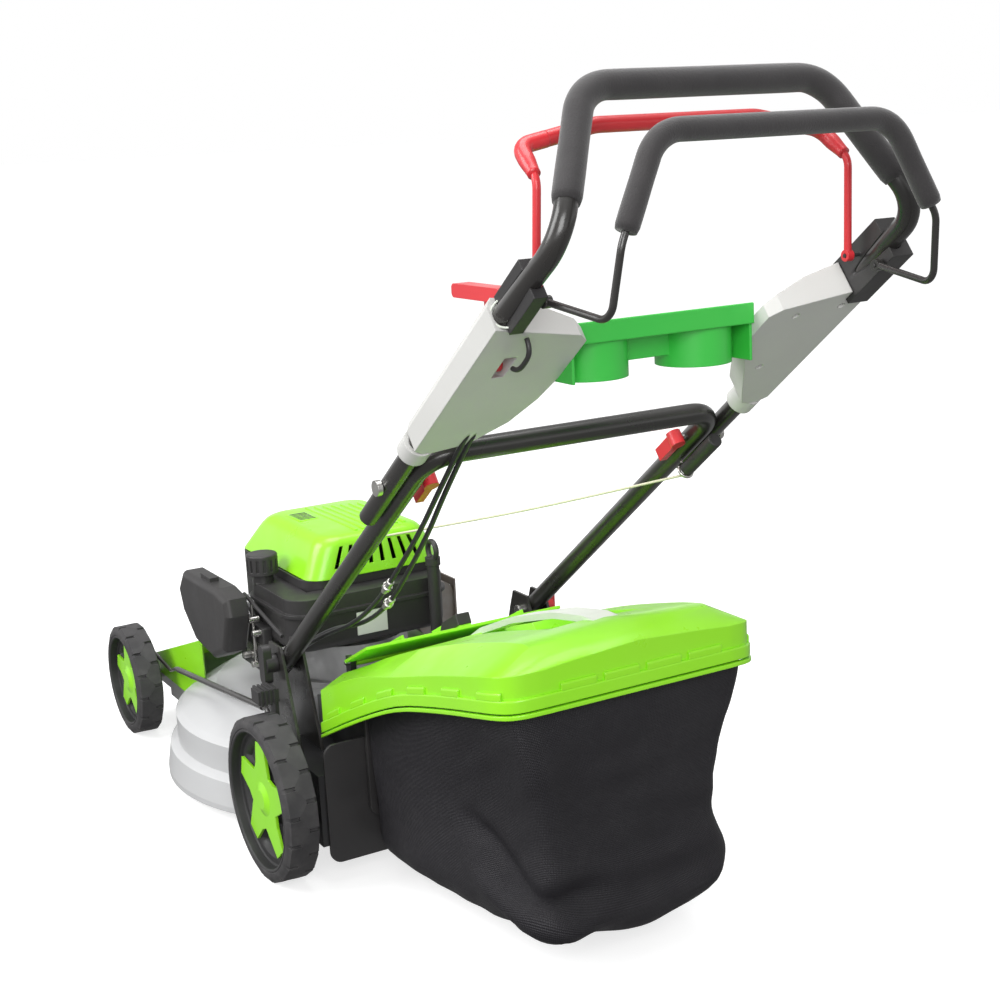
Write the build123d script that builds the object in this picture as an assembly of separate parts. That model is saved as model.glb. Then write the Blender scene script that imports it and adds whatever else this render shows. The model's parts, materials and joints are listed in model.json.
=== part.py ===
"""Walk-behind petrol lawn mower with a rear grass catcher, built as separate named pieces.

Millimetres, +Z up, +Y towards the front wheels, +X to the operator's right.
Everything is drawn with the rear axle at Y = 0 and the ground at Z = 0, and the
finished pieces are then moved so that the origin is on the ground below the
middle of the whole mower.
"""

import os
from math import atan2, cos, degrees, hypot, radians, sin

from build123d import *

# Clearances
RUN = 0.05
GAP = 0.4
STEP_GAP = 1.0

# Wheels and axles
REAR_WHEEL_R = 110.0
FRONT_WHEEL_R = 90.0
WHEELBASE = 652.0
REAR_TREAD = 46.0
FRONT_TREAD = 43.0
REAR_FACE_X = 283.0
FRONT_FACE_X = 264.0
TYRE_WALL = 20.0
TYRE_ROUND = 5.0
RIM_WEB = 8.0
FACE_RECESS = 14.0
HUB_R = 19.0
STUB_R = 6.0
TREAD_BLOCKS = 20
TREAD_DEPTH = 3.0
ARMS = 5
POCKET_DEPTH = 5.0

# Height adjustment: both axles swing on equal cranks joined by a link rod
CRANK_BACK = 43.0
CRANK_UP = 15.0
CRANK_PLATE = 5.0
CRANK_WHEEL_GAP = 3.0
PLATE_R = 14.0
LEVER_PIN_UP = 60.0
LINK_R = 3.0
PIN_R = 4.0
SHAFT_R = 6.0
PINION_R = 13.0
PINION_WIDTH = 12.0
TIE_BACK = 51.0
TIE_DOWN = 29.0
TIE_R = 5.0

# Deck
DECK_Y = 315.0
LIP_R = 288.0
SKIRT_R = 270.0
LIP_Z = 20.0
STEP_Z = 62.0
SHOULDER_Z = 118.0
TOP_R = 205.0
TOP_Z = 150.0
SHEET = 2.5
TAIL_HALF = 220.0
TAIL_BACK_Y = -66.0
TAIL_LOW_Z = 52.0
CHUTE_HALF = 150.0
CHUTE_SILL_Z = 100.0
CHUTE_MOUTH_Z = 236.0
APRON_HALF = 188.0
APRON_FRONT_Y = 640.0
APRON_Z = 112.0
TRIM_HALF = 196.0
TRIM_FRONT_Y = 712.0
SHIELD_HALF = 212.0
SHIELD_LOW_Z = 27.0
SHIELD_HIGH_Z = 190.0

# Engine
CRANK_R = 11.0
BASE_R = 92.0
BASE_TOP_Z = 212.0
BLOWER_HALF = 112.0
BLOWER_BACK_Y = 192.0
BLOWER_FRONT_Y = 462.0
BLOWER_LOW_Z = 236.0
BLOWER_HIGH_Z = 331.0
HOOD_HALF = 108.0
HOOD_BACK_Y = 186.0
HOOD_FRONT_Y = 470.0
HOOD_HIGH_Z = 390.0
HOOD_SLOTS = 9
WALL = 3.0
TANK_LEFT_X = -152.0
TANK_RIGHT_X = 96.0
TANK_BACK_Y = 150.0
TANK_FRONT_Y = 330.0
TANK_LOW_Z = 240.0
TANK_HIGH_Z = 318.0
FILLER_X = -138.0
FILLER_Y = 292.0
FLYWHEEL_R = 88.0
DIPSTICK_X = 63.0
DIPSTICK_Y = 134.0
DIPSTICK_Z = 340.0
FINS = 6

# Blade and belt drive
BLADE_LENGTH = 500.0
BLADE_WIDTH = 52.0
BLADE_T = 4.0
BLADE_Z = 42.0
BELT_Z = 134.0
BELT_H = 9.0
BELT_T = 6.0
ENGINE_PULLEY_R = 28.0
GEAR_PULLEY_R = 42.0

# Handle frame: one straight slope from the lower pivot to the bend below the grip
LOWER_TUBE_R = 12.5
UPPER_TUBE_R = 11.0
TUBE_WALL = 1.5
PIVOT_Y = 82.0
PIVOT_Z = 263.0
CORNER_Y = -379.0
CORNER_Z = 615.0
LOWER_HALF = 192.0
CLAMP_BELOW_CORNER = 63.0
OVERLAP = 75.0
BEND_Y = -693.0
BEND_HALF = 208.0
GRIP_Y = -626.0
GRIP_Z = 985.0
GRIP_HALF = 139.0
GRIP_BEND = 45.0
FOAM_R = 14.0
FOAM_LOW_Z = 885.0
BOLT_R = 4.0
ROPE_GUIDE = -40.0

# Bails
STOP_HALF = 187.0
STOP_R = 4.0
SLEEVE_R = 8.0
STOP_PIVOT_Y = -612.0
STOP_PIVOT_Z = 806.0
STOP_KNEE_Y = -616.0
STOP_KNEE_Z = 905.0
STOP_END_HALF = 179.0
STOP_END_Z = 934.0
STOP_BAR_HALF = 95.0
STOP_BAR_Y = -579.0
STOP_BAR_Z = 950.0
DRIVE_R = 3.5
DRIVE_FOAM_R = 11.0
DRIVE_PIVOT_HALF = 197.0
DRIVE_PIVOT_Y = -645.0
DRIVE_PIVOT_Z = 797.0
DRIVE_ELBOW_HALF = 187.0
DRIVE_ELBOW_Y = -734.0
DRIVE_ELBOW_Z = 784.0
DRIVE_KNEE_HALF = 180.0
DRIVE_KNEE_Y = -744.0
DRIVE_KNEE_Z = 850.0
DRIVE_BAR_HALF = 133.0
DRIVE_BAR_Y = -733.0
DRIVE_BAR_Z = 943.0

# Control housings and tray
PANEL_IN = 112.0
PANEL_OUT = 230.0
PANEL_LOW = 98.0
PANEL_HIGH = 340.0
PANEL_LIFT = 15.0
PANEL_DEEP = -22.0
COLLAR_R = 17.0
TRAY_FRONT_Y = -436.0
TRAY_BACK_Y = -548.0
TRAY_Z = 742.0
TRAY_RIM_Z = 761.0
CUP_X = 66.0
CUP_Y = -506.0
CUP_R = 38.0
CUP_DEPTH = 40.0
LEVER_X = -190.0
LEVER_Y = -528.0
LEVER_Z = 728.0

# Cables
CABLE_X = (-174.0, -166.0)
CABLE_TOP = (125.0, -12.0)
CABLE_BEND = (40.0, -24.0)

# Grass catcher
BAG_FRONT_Y = -82.0
BAG_BACK_Y = -478.0
BAG_HALF = 156.0
CLOTH = 3.0
LID_CROWN = 6.0
WELL_HALF = 58.0
WELL_DEPTH = 26.0
FLAP_Y = 10.0
FLAP_Z = 266.0
FLAP_SLOPE = 27.0
FLAP_LENGTH = 100.0


def mirrored(shape):
    """The same piece on the other side of the mower."""
    return mirror(shape, about=Plane.YZ)


def group(*shapes):
    """Separate solids that share one node."""
    return Part() + list(shapes)


def pair(shape):
    """The piece and its mirror image."""
    return group(shape, mirrored(shape))


def block(x0, x1, y0, y1, z0, z1):
    """A box given by its limits."""
    return Pos((x0 + x1) / 2, (y0 + y1) / 2, (z0 + z1) / 2) * Box(x1 - x0, y1 - y0, z1 - z0)


def rod_x(x0, x1, at, r):
    """A round bar along X at (y, z)."""
    return Pos((x0 + x1) / 2, *at) * Rot(0, 90, 0) * Cylinder(r, abs(x1 - x0))


def rod_z(x, y, z0, z1, r):
    """A round bar along Z."""
    return Pos(x, y, (z0 + z1) / 2) * Cylinder(r, z1 - z0)


def rod(start, end, r):
    """A round bar between two points."""
    a = Vector(*start)
    b = Vector(*end)
    plane = Plane(origin=a, z_dir=b - a)
    return extrude(plane * Circle(r), amount=(b - a).length)


def tube(points, radii, r, inner=0.0):
    """A round tube along straight runs joined by arcs."""
    path = FilletPolyline(*points, radius=radii)
    start = Plane(origin=path @ 0, z_dir=path % 0)
    solid = sweep(start * Circle(r), path=path)
    if inner:
        solid = solid - sweep(start * Circle(inner), path=path)
    return solid


def side_plate(outline, x0, x1):
    """A plate in the YZ plane between two X positions; the outline holds (y, z) points."""
    face = make_face(Polyline(*[(x0, y, z) for y, z in outline], close=True))
    return extrude(face, amount=x1 - x0, dir=(1, 0, 0))


def slot_plate(ends, r, x0, x1):
    """A plate with round ends between two (y, z) points."""
    (y0, z0), (y1, z1) = ends
    sketch = SlotCenterToCenter(hypot(y1 - y0, z1 - z0), 2 * r)
    plane = Plane(origin=(x0, (y0 + y1) / 2, (z0 + z1) / 2), x_dir=(0, y1 - y0, z1 - z0), z_dir=(1, 0, 0))
    return extrude(plane * sketch, amount=x1 - x0)


# Places that several pieces share
rear_axle = (0.0, REAR_WHEEL_R)
front_axle = (WHEELBASE, FRONT_WHEEL_R)
rear_pivot = (rear_axle[0] + CRANK_BACK, rear_axle[1] - CRANK_UP)
front_pivot = (front_axle[0] + CRANK_BACK, front_axle[1] - CRANK_UP)
rear_link_pin = (rear_pivot[0], rear_pivot[1] + LEVER_PIN_UP)
front_link_pin = (front_pivot[0], front_pivot[1] + LEVER_PIN_UP)
rear_plate_x = REAR_FACE_X - REAR_TREAD - CRANK_WHEEL_GAP
front_plate_x = FRONT_FACE_X - FRONT_TREAD - CRANK_WHEEL_GAP
rear_link_x = rear_plate_x - CRANK_PLATE - GAP - LINK_R
front_link_x = front_plate_x - CRANK_PLATE - GAP - LINK_R
tie_at = (rear_pivot[0] - TIE_BACK, rear_pivot[1] - TIE_DOWN)
pivot = (PIVOT_Y, PIVOT_Z)
slope = atan2(CORNER_Z - PIVOT_Z, CORNER_Y - PIVOT_Y)
clamp = (
    CORNER_Y - CLAMP_BELOW_CORNER * cos(slope),
    CORNER_Z - CLAMP_BELOW_CORNER * sin(slope),
)
upper_x = LOWER_HALF + LOWER_TUBE_R + GAP + UPPER_TUBE_R


def on_handle(along, lift=0.0):
    """(y, z) at a distance up the slope from the clamp bolt, lifted square to the slope."""
    y = clamp[0] + along * cos(slope) + lift * sin(slope)
    z = clamp[1] + along * sin(slope) - lift * cos(slope)
    return y, z


def slope_block(x0, x1, s0, s1, l0, l1):
    """A box aligned with the handle slope."""
    outline = [on_handle(s0, l0), on_handle(s1, l0), on_handle(s1, l1), on_handle(s0, l1)]
    return side_plate(outline, x0, x1)


# Wheels


def wheel(radius, tread, face_x, y, drum_r):
    """A left wheel: tyre with cut tread, dished rim with pockets, hub bore and inner drum."""
    rim_r = radius - TYRE_WALL
    outer = tread / 2
    solid = Cylinder(radius, tread)
    solid = fillet(solid.edges().filter_by(GeomType.CIRCLE), TYRE_ROUND)
    depth = tread - FACE_RECESS - RIM_WEB - POCKET_DEPTH
    cuts = [
        Pos(0, 0, outer - FACE_RECESS / 2) * Cylinder(rim_r, FACE_RECESS),
        Pos(0, 0, depth / 2 - outer) * (Cylinder(drum_r, depth) - Cylinder(HUB_R, depth)),
        Pos(0, 0, STEP_GAP / 2 - outer) * Cylinder(HUB_R + STEP_GAP, STEP_GAP),
        Cylinder(STUB_R + 0.3, tread),
    ]
    middle = (rim_r + HUB_R) / 2
    for turn in PolarLocations(middle, ARMS, start_angle=180 / ARMS):
        pocket = Box((rim_r - HUB_R) * 0.7, middle * 0.75, POCKET_DEPTH)
        cuts.append(turn * Pos(0, 0, outer - FACE_RECESS - POCKET_DEPTH / 2) * pocket)
    groove = Box(2 * TREAD_DEPTH, radius * 0.08, tread * 0.6)
    for side in (-1, 1):
        first = 90 * (side + 1) / TREAD_BLOCKS
        for turn in PolarLocations(radius, TREAD_BLOCKS, start_angle=first):
            cuts.append(turn * Pos(0, 0, side * tread * 0.33) * Rot(side * 30, 0, 0) * groove)
    solid = solid - cuts
    return Pos(-face_x + tread / 2, y, radius) * Rot(0, -90, 0) * solid


def star_cap(radius, face_x, y):
    """The five-armed hub cap that covers the wheel bolt."""
    reach = 0.92 * (radius - TYRE_WALL - 4)
    points = []
    for arm in range(ARMS):
        middle = arm * 360 / ARMS
        for share, turn in ((1.0, -10), (0.98, 9), (0.62, 21), (0.52, 38)):
            angle = radians(middle + turn)
            points.append((reach * share * cos(angle), reach * share * sin(angle)))
    low = (Align.CENTER, Align.CENTER, Align.MIN)
    star = extrude(make_face(Polyline(*points, close=True)), amount=4)
    dome = Pos(0, 0, 4) * Cone(HUB_R + 4, HUB_R - 6, 4, align=low)
    return Pos(-face_x + FACE_RECESS, y, radius) * Rot(0, -90, 0) * (star + dome)


def make_wheels():
    """Four wheels with hub caps; the rear pair has a wide drum for the drive pinions."""
    rear_drum = hypot(CRANK_BACK, CRANK_UP) + PINION_R + GAP
    front_drum = FRONT_WHEEL_R - 2 * TYRE_WALL
    sets = {
        "rear": (REAR_WHEEL_R, REAR_TREAD, REAR_FACE_X, rear_axle[0], rear_drum),
        "front": (FRONT_WHEEL_R, FRONT_TREAD, FRONT_FACE_X, front_axle[0], front_drum),
    }
    made = {}
    for where, (radius, tread, face_x, y, drum_r) in sets.items():
        left = wheel(radius, tread, face_x, y, drum_r)
        cap = star_cap(radius, face_x, y)
        made[f"wheel_{where}_left"] = left
        made[f"wheel_{where}_right"] = mirrored(left)
        made[f"hub_cap_{where}_left"] = cap
        made[f"hub_cap_{where}_right"] = mirrored(cap)
    return made


# Axles and height adjustment


def crank(plate_x, face_x, centre, axle, r):
    """Left crank plate with its wheel bolt."""
    inner = -plate_x + CRANK_PLATE
    plate = slot_plate((centre, axle), r, -plate_x, inner)
    return plate + rod_x(-face_x + FACE_RECESS + STEP_GAP, inner, axle, STUB_R)


def make_rear_axle():
    """Two crank plates on a tie bar, with the pin that drives the link rod."""
    inner = -rear_plate_x + CRANK_PLATE
    left = crank(rear_plate_x, REAR_FACE_X, rear_pivot, rear_axle, PLATE_R)
    left += slot_plate((rear_pivot, tie_at), TIE_R + 4, -rear_plate_x, inner)
    bore = rod_x(-REAR_FACE_X, REAR_FACE_X, rear_pivot, SHAFT_R + 0.3)
    lever = slot_plate((rear_pivot, rear_link_pin), PIN_R + 5, -rear_plate_x, inner)
    pin = rod_x(inner - 1, -rear_link_x + LINK_R + 2, rear_link_pin, PIN_R)
    tie = rod_x(inner - 1, -inner + 1, tie_at, TIE_R)
    return left + mirrored(left) + lever + pin + tie - bore


def make_height_lever():
    """Ribbed hand lever above the left rear wheel."""
    y = rear_link_pin[0] - 4
    low = rear_link_pin[1] + PIN_R + 5
    top = 2 * REAR_WHEEL_R + 4
    inner = -rear_plate_x + CRANK_PLATE
    stem = block(-rear_plate_x, inner, y - 9, y + 9, low, top + 12)
    knob = block(-rear_plate_x - 24, inner, y - 13, y + 13, top + 4, top + 22)
    ribs = [
        block(-rear_plate_x - 21 + 6 * i, -rear_plate_x - 18 + 6 * i, y - 15, y + 15, top + 2, top + 24)
        for i in range(4)
    ]
    return stem + knob + ribs


def make_front_axle():
    """Cross shaft with a crank plate at each end and the lever for the link rod."""
    inner = -front_plate_x + CRANK_PLATE
    left = crank(front_plate_x, FRONT_FACE_X, front_pivot, front_axle, PLATE_R - 1)
    lever = slot_plate((front_pivot, front_link_pin), PIN_R + 5, -front_plate_x, inner)
    pin = rod_x(inner - 1, -front_link_x + LINK_R + 2, front_link_pin, PIN_R)
    shaft = rod_x(inner - 1, -inner + 1, front_pivot, SHAFT_R + 1)
    return left + mirrored(left) + lever + pin + shaft


def make_link_rod():
    """Bent rod that turns the front axle with the rear one."""
    bends = [
        (-rear_link_x, *rear_link_pin),
        (-rear_link_x, 86, 199),
        (-rear_link_x, 478, 150),
        (-front_link_x, 556, 122),
        (-front_link_x, *front_link_pin),
    ]
    bar = tube(bends, [12, 20, 20], LINK_R)
    holes = []
    for x, at in ((rear_link_x, rear_link_pin), (front_link_x, front_link_pin)):
        bar += rod_x(-x - LINK_R + 0.3, -x + LINK_R - 0.3, at, PIN_R + 4)
        holes.append(rod_x(-x - LINK_R, -x + LINK_R, at, PIN_R + 0.3))
    return bar - holes


def make_drive_shaft():
    """Cross shaft with a pinion inside each rear wheel."""
    end = rear_plate_x + CRANK_WHEEL_GAP + PINION_WIDTH
    shaft = rod_x(-end, end, rear_pivot, SHAFT_R)
    pinion = rod_x(-end, -rear_plate_x - GAP, rear_pivot, PINION_R)
    return shaft + pinion + mirrored(pinion)


def make_gearbox():
    """Drive gearbox hung on the shaft, with its input pulley on top."""
    y, z = rear_pivot
    case = fillet(block(-34, 34, y - 30, y + 30, z - 30, z + 26).edges(), 6)
    stem = rod_z(0, y, z + 20, BELT_Z + BELT_H, 7)
    pulley = rod_z(0, y, BELT_Z, BELT_Z + BELT_H, GEAR_PULLEY_R)
    return case + stem + pulley - rod_x(-40, 40, rear_pivot, SHAFT_R + 0.3)


def belt_loop(extra):
    """Flat outline of the belt around both pulleys."""
    y = rear_pivot[0]
    big = GEAR_PULLEY_R + GAP + extra
    small = ENGINE_PULLEY_R + GAP + extra
    lean = (big - small) / (DECK_Y - y)
    rise = (1 - lean * lean) ** 0.5
    corners = [
        (-big * rise, y + big * lean),
        (-small * rise, DECK_Y + small * lean),
        (small * rise, DECK_Y + small * lean),
        (big * rise, y + big * lean),
    ]
    return Pos(0, y) * Circle(big) + Pos(0, DECK_Y) * Circle(small) + make_face(Polyline(*corners, close=True))


def make_belt():
    """Drive belt around both pulleys."""
    return Pos(0, 0, BELT_Z) * extrude(belt_loop(BELT_T) - belt_loop(0), amount=BELT_H)


# Deck


def turned(profile):
    """A solid of revolution about the blade axis from (r, z) points."""
    face = make_face(Polyline(*[(r, 0, z) for r, z in profile], close=True))
    return Pos(0, DECK_Y, 0) * revolve(face, Axis.Z, 360)


def drum(inset, bottom):
    """The round part of the deck, inset by the sheet thickness for its inside."""
    return turned([
        (0, bottom),
        (LIP_R - inset, bottom),
        (LIP_R - inset, LIP_Z + 8 - inset),
        (LIP_R - 6 - inset, STEP_Z - inset),
        (SKIRT_R - inset, STEP_Z + 8 - inset),
        (SKIRT_R - inset, SHOULDER_Z - 8 - inset),
        (SKIRT_R - 10 - inset, SHOULDER_Z - inset),
        (TOP_R + 18 - inset, TOP_Z - 10 - inset),
        (TOP_R - inset, TOP_Z - inset),
        (0, TOP_Z - inset),
    ])


def chute_shape(inset, back):
    """Raised tunnel from the deck to the catcher."""
    outline = [
        (170, TOP_Z - 20),
        (160 - inset, TOP_Z - inset),
        (90, 202 - inset),
        (back, CHUTE_MOUTH_Z - inset),
        (back, TOP_Z - 20),
    ]
    return side_plate(outline, -CHUTE_HALF + inset, CHUTE_HALF - inset)


def deck_outside():
    """Filled outer shape of the pressed deck."""
    tail = block(-TAIL_HALF, TAIL_HALF, TAIL_BACK_Y, 200, TAIL_LOW_Z, TOP_Z)
    apron = block(-APRON_HALF, APRON_HALF, 420, APRON_FRONT_Y, TAIL_LOW_Z, APRON_Z)
    return drum(0, LIP_Z) + tail + apron + chute_shape(0, TAIL_BACK_Y)


def make_deck():
    """Pressed steel shell with tail, chute, front apron and bearing ears."""
    y, z = rear_pivot
    post = block(126, 134, FLAP_Y - 8, FLAP_Y + 8, 190, FLAP_Z + 8)
    shell = deck_outside() + post + mirrored(post)
    inside = [
        drum(SHEET, LIP_Z - 1),
        block(-TAIL_HALF + SHEET, TAIL_HALF - SHEET, TAIL_BACK_Y + SHEET, 200, 0, TOP_Z - SHEET),
        block(-APRON_HALF + SHEET, APRON_HALF - SHEET, 420, APRON_FRONT_Y - SHEET, 0, APRON_Z - SHEET),
        chute_shape(SHEET, TAIL_BACK_Y - 10),
        block(-CHUTE_HALF + SHEET, CHUTE_HALF - SHEET, TAIL_BACK_Y - 1, 0, CHUTE_SILL_Z, TOP_Z),
        block(-TAIL_HALF - 9, TAIL_HALF + 9, y - 70, y + 45, 0, 132),
        rod_z(0, DECK_Y, 0, 200, CRANK_R + 6),
        rod_x(-140, 140, (FLAP_Y, FLAP_Z), 3.3),
    ]
    shell = shell - inside
    rear_ear = block(204, 216, y - 13, y + 13, z - 13, TOP_Z - 1) - rod_x(190, 230, rear_pivot, SHAFT_R + 0.3)
    fy, fz = front_pivot
    front_ear = block(174, APRON_HALF, APRON_FRONT_Y - 1, fy + 11, fz - 11, fz + 11)
    front_ear -= rod_x(160, 200, front_pivot, SHAFT_R + 1.3)
    return shell + rear_ear + mirrored(rear_ear) + front_ear + mirrored(front_ear)


def make_front_trim():
    """Plastic bonnet over the front of the deck."""
    outline = [(TRIM_FRONT_Y, 88), (TRIM_FRONT_Y, 98), (690, 114), (615, 140), (440, 200), (330, 200), (330, 88)]
    inner = [(TRIM_FRONT_Y - 5, 80), (688, 108), (615, 134), (439, 195), (330, 195), (330, 80)]
    solid = side_plate(outline, -TRIM_HALF, TRIM_HALF)
    hollow = side_plate(inner, -TRIM_HALF + 4, TRIM_HALF - 4)
    opening = rod_z(0, DECK_Y, 0, 260, TOP_R + 22)
    return solid - [hollow, opening, deck_outside()]


def make_shield():
    """Trailing shield behind the rear wheels, open where the catcher meets the chute."""
    plate = block(-SHIELD_HALF, SHIELD_HALF, TAIL_BACK_Y - 4, TAIL_BACK_Y, SHIELD_LOW_Z, SHIELD_HIGH_Z)
    plate = fillet(plate.edges().filter_by(Axis.Y), 16)
    return plate - block(-CHUTE_HALF, CHUTE_HALF, -90, -50, CHUTE_SILL_Z, 260)


def make_flap():
    """Spring flap that lies on the catcher lid."""
    barrel = rod_x(-124, 124, (FLAP_Y, FLAP_Z), 6)
    plate = block(-124, 124, -FLAP_LENGTH, -3, -2, 2)
    plate += block(-146, 146, -FLAP_LENGTH, -18, -2, 2)
    for x in (-90, 90):
        plate += block(x - 2, x + 2, -FLAP_LENGTH + 6, -14, 0, 8)
    plate += block(-9, 9, -FLAP_LENGTH + 2, -12, 0, 16)
    plate = Pos(0, FLAP_Y, FLAP_Z) * Rot(-FLAP_SLOPE, 0, 0) * plate
    return barrel + plate - rod_x(-130, 130, (FLAP_Y, FLAP_Z), 3 + 0.3)


def make_flap_rod():
    """Hinge rod of the flap."""
    return rod_x(-139, 139, (FLAP_Y, FLAP_Z), 3)


# Engine


def make_crankcase():
    """Sump casting with its mounting flange."""
    case = rod_z(0, DECK_Y, TOP_Z, BASE_TOP_Z, BASE_R)
    flange = rod_z(0, DECK_Y, TOP_Z, TOP_Z + 9, BASE_R + 12)
    return case + flange - rod_z(0, DECK_Y, 100, 260, CRANK_R + 0.3)


def make_cylinder():
    """Finned cylinder and head pointing forward, with the spark plug."""
    core = block(-34, 34, 390, 496, 170, 230)
    fins = [block(-52, 52, 412 + 14 * i, 418 + 14 * i, 164, 233) for i in range(FINS)]
    plug = Pos(0, 508, 200) * Rot(90, 0, 0) * Cylinder(8, 30)
    return core + fins + plug - rod_z(0, DECK_Y, 100, 260, BASE_R + RUN)


def make_muffler():
    """Exhaust box on the right with its slotted guard."""
    box = fillet(block(122, 186, 314, 424, 172, 256).edges().filter_by(Axis.Y), 22)
    guard = block(186, 189, 310, 428, 168, 258)
    slots = [block(185.9, 195, 324 + 14 * i, 331 + 14 * i, 182, 246) for i in range(7)]
    pipe = rod((123, 415, 200), (52, 415, 200), 9)
    return box + (guard - slots) + pipe


def make_blower():
    """Open-topped fan housing on four posts."""
    outer = block(-BLOWER_HALF, BLOWER_HALF, BLOWER_BACK_Y, BLOWER_FRONT_Y, BLOWER_LOW_Z, BLOWER_HIGH_Z)
    outer = fillet(outer.edges().filter_by(Axis.Z), 34)
    inner = block(
        -BLOWER_HALF + WALL, BLOWER_HALF - WALL, BLOWER_BACK_Y + WALL, BLOWER_FRONT_Y - WALL,
        BLOWER_LOW_Z + WALL, BLOWER_HIGH_Z + 5,
    )
    inner = fillet(inner.edges().filter_by(Axis.Z), 31)
    shell = outer - inner - rod_z(0, DECK_Y, 200, 300, CRANK_R + 3)
    posts = [
        rod_z(62 * sx, DECK_Y + 52 * sy, BASE_TOP_Z, BLOWER_LOW_Z, 8) for sx in (-1, 1) for sy in (-1, 1)
    ]
    return shell + posts


def hood_shape(inset):
    """Tapered bonnet, inset by the wall for its inside."""
    low = Plane.XY.offset(BLOWER_HIGH_Z - inset / 10)
    high = Plane.XY.offset(HOOD_HIGH_Z - inset)
    wide = Rectangle(2 * (HOOD_HALF - inset), HOOD_FRONT_Y - HOOD_BACK_Y - 2 * inset)
    wide = Pos(0, (HOOD_FRONT_Y + HOOD_BACK_Y) / 2) * wide
    narrow = Pos(0, 306) * Rectangle(2 * (HOOD_HALF - 24 - inset), 226 - 2 * inset)
    return loft([low * fillet(wide.vertices(), 28 - inset), high * fillet(narrow.vertices(), 28 - inset)])


def make_hood():
    """Engine bonnet with air slots at the back and a grille on top."""
    solid = hood_shape(0)
    cuts = [hood_shape(WALL)]
    pitch = 2 * (HOOD_HALF - 26) / (HOOD_SLOTS - 1)
    for i in range(HOOD_SLOTS):
        x = -HOOD_HALF + 26 + pitch * i
        cuts.append(block(x - 3, x + 3, 170, 206, 344, 382))
    for i in range(6):
        cuts.append(block(-62, -12, 352 + 9 * i, 356 + 9 * i, 385, 400))
        cuts.append(block(12, 62, 352 + 9 * i, 356 + 9 * i, 385, 400))
    ribs = [block(-60, 60, 232 + 22 * i, 238 + 22 * i, HOOD_HIGH_Z - 1, HOOD_HIGH_Z + 2) for i in range(4)]
    return solid - cuts + ribs


def make_tank():
    """Fuel tank wrapped around the left and back of the fan housing."""
    solid = block(TANK_LEFT_X, TANK_RIGHT_X, TANK_BACK_Y, TANK_FRONT_Y, TANK_LOW_Z, TANK_HIGH_Z)
    solid = fillet(solid.edges().filter_by(Axis.Z), 34)
    solid = fillet(solid.edges().group_by(Axis.Z)[0], 12)
    seam = block(TANK_LEFT_X - 5, TANK_RIGHT_X + 5, TANK_BACK_Y - 5, TANK_FRONT_Y + 5, 292, 297)
    seam = fillet(seam.edges().filter_by(Axis.Z), 39)
    keep = block(
        -BLOWER_HALF - GAP, BLOWER_HALF + GAP, BLOWER_BACK_Y - GAP, BLOWER_FRONT_Y, TANK_LOW_Z - 9, BLOWER_HIGH_Z
    )
    neck = rod_z(FILLER_X, FILLER_Y, TANK_HIGH_Z - 4, TANK_HIGH_Z + 12, 15)
    return solid + seam + neck - keep


def make_fuel_cap():
    """Ribbed screw cap."""
    low = TANK_HIGH_Z + 12 + GAP
    cap = rod_z(FILLER_X, FILLER_Y, low, low + 30, 23)
    cap = fillet(cap.edges().group_by(Axis.Z)[-1], 3)
    return cap - [Pos(FILLER_X, FILLER_Y, low + 14) * turn * Box(4, 4, 18) for turn in PolarLocations(23, 14)]


def make_dipstick():
    """Oil dipstick with a pull ring."""
    x, y, z = DIPSTICK_X, DIPSTICK_Y, DIPSTICK_Z
    cap = rod_z(x, y, z + GAP, z + 12, 11)
    ring = Pos(x, y, z + 22) * Rot(0, 90, 35) * Torus(13, 4)
    return cap + ring + rod_z(x, y, 222, z + 2, 2.5)


def make_oil_tube():
    """Filler tube from the sump to the dipstick."""
    bends = [(DIPSTICK_X - 3, 262, 186), (DIPSTICK_X, DIPSTICK_Y, 196), (DIPSTICK_X, DIPSTICK_Y, DIPSTICK_Z)]
    return tube(bends, [24], 9, 7) - rod_z(0, DECK_Y, 100, 260, BASE_R + RUN)


def make_carburettor():
    """Carburettor body with bowl, intake flange and choke plate."""
    body = rod((-112 - GAP, 362, 262), (-176, 362, 262), 19)
    bowl = rod_z(-142, 362, 216, 246, 20)
    flange = block(-178, -172, 336, 388, 236, 288)
    outline = [(252, 284), (300, 314), (440, 312), (463, 284), (404, 215), (330, 206), (279, 227)]
    return body + bowl + flange + side_plate(outline, -180, -177)


def make_air_filter():
    """Air filter cover with a curved lower edge and a top latch."""
    outline = [(250, 284), (256, 310), (300, 317), (440, 315), (466, 284), (452, 249), (404, 212), (330, 203), (276, 225)]
    inner = [(262, 282), (268, 303), (302, 308), (434, 306), (454, 282), (442, 255), (400, 223), (334, 214), (286, 232)]
    solid = side_plate(outline, -214, -180)
    solid = fillet(solid.faces().sort_by(Axis.X)[0].edges(), 10)
    latch = block(-204, -190, 340, 380, 313, 323)
    return solid + latch - side_plate(inner, -204, -180)


def make_control_bracket():
    """Plated bracket that holds the cable ends and the governor lever."""
    base = block(-166, -70, 240, 316, 226, 229)
    ears = [block(-166, -163, 246, 268, 228, 236), block(-166, -163, 284, 310, 205, 228)]
    screws = [rod_z(-84, y, BASE_TOP_Z, 234, 5) for y in (290, 306)]
    arm = block(-150, -144, 252, 332, 219, 227)
    return base + ears + screws + arm


# Blade and crankshaft


def make_crankshaft():
    """Crankshaft with the belt pulley."""
    shaft = rod_z(0, DECK_Y, BLADE_Z + 16, 262, CRANK_R)
    return shaft + rod_z(0, DECK_Y, BELT_Z, BELT_Z + BELT_H, ENGINE_PULLEY_R)


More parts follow.
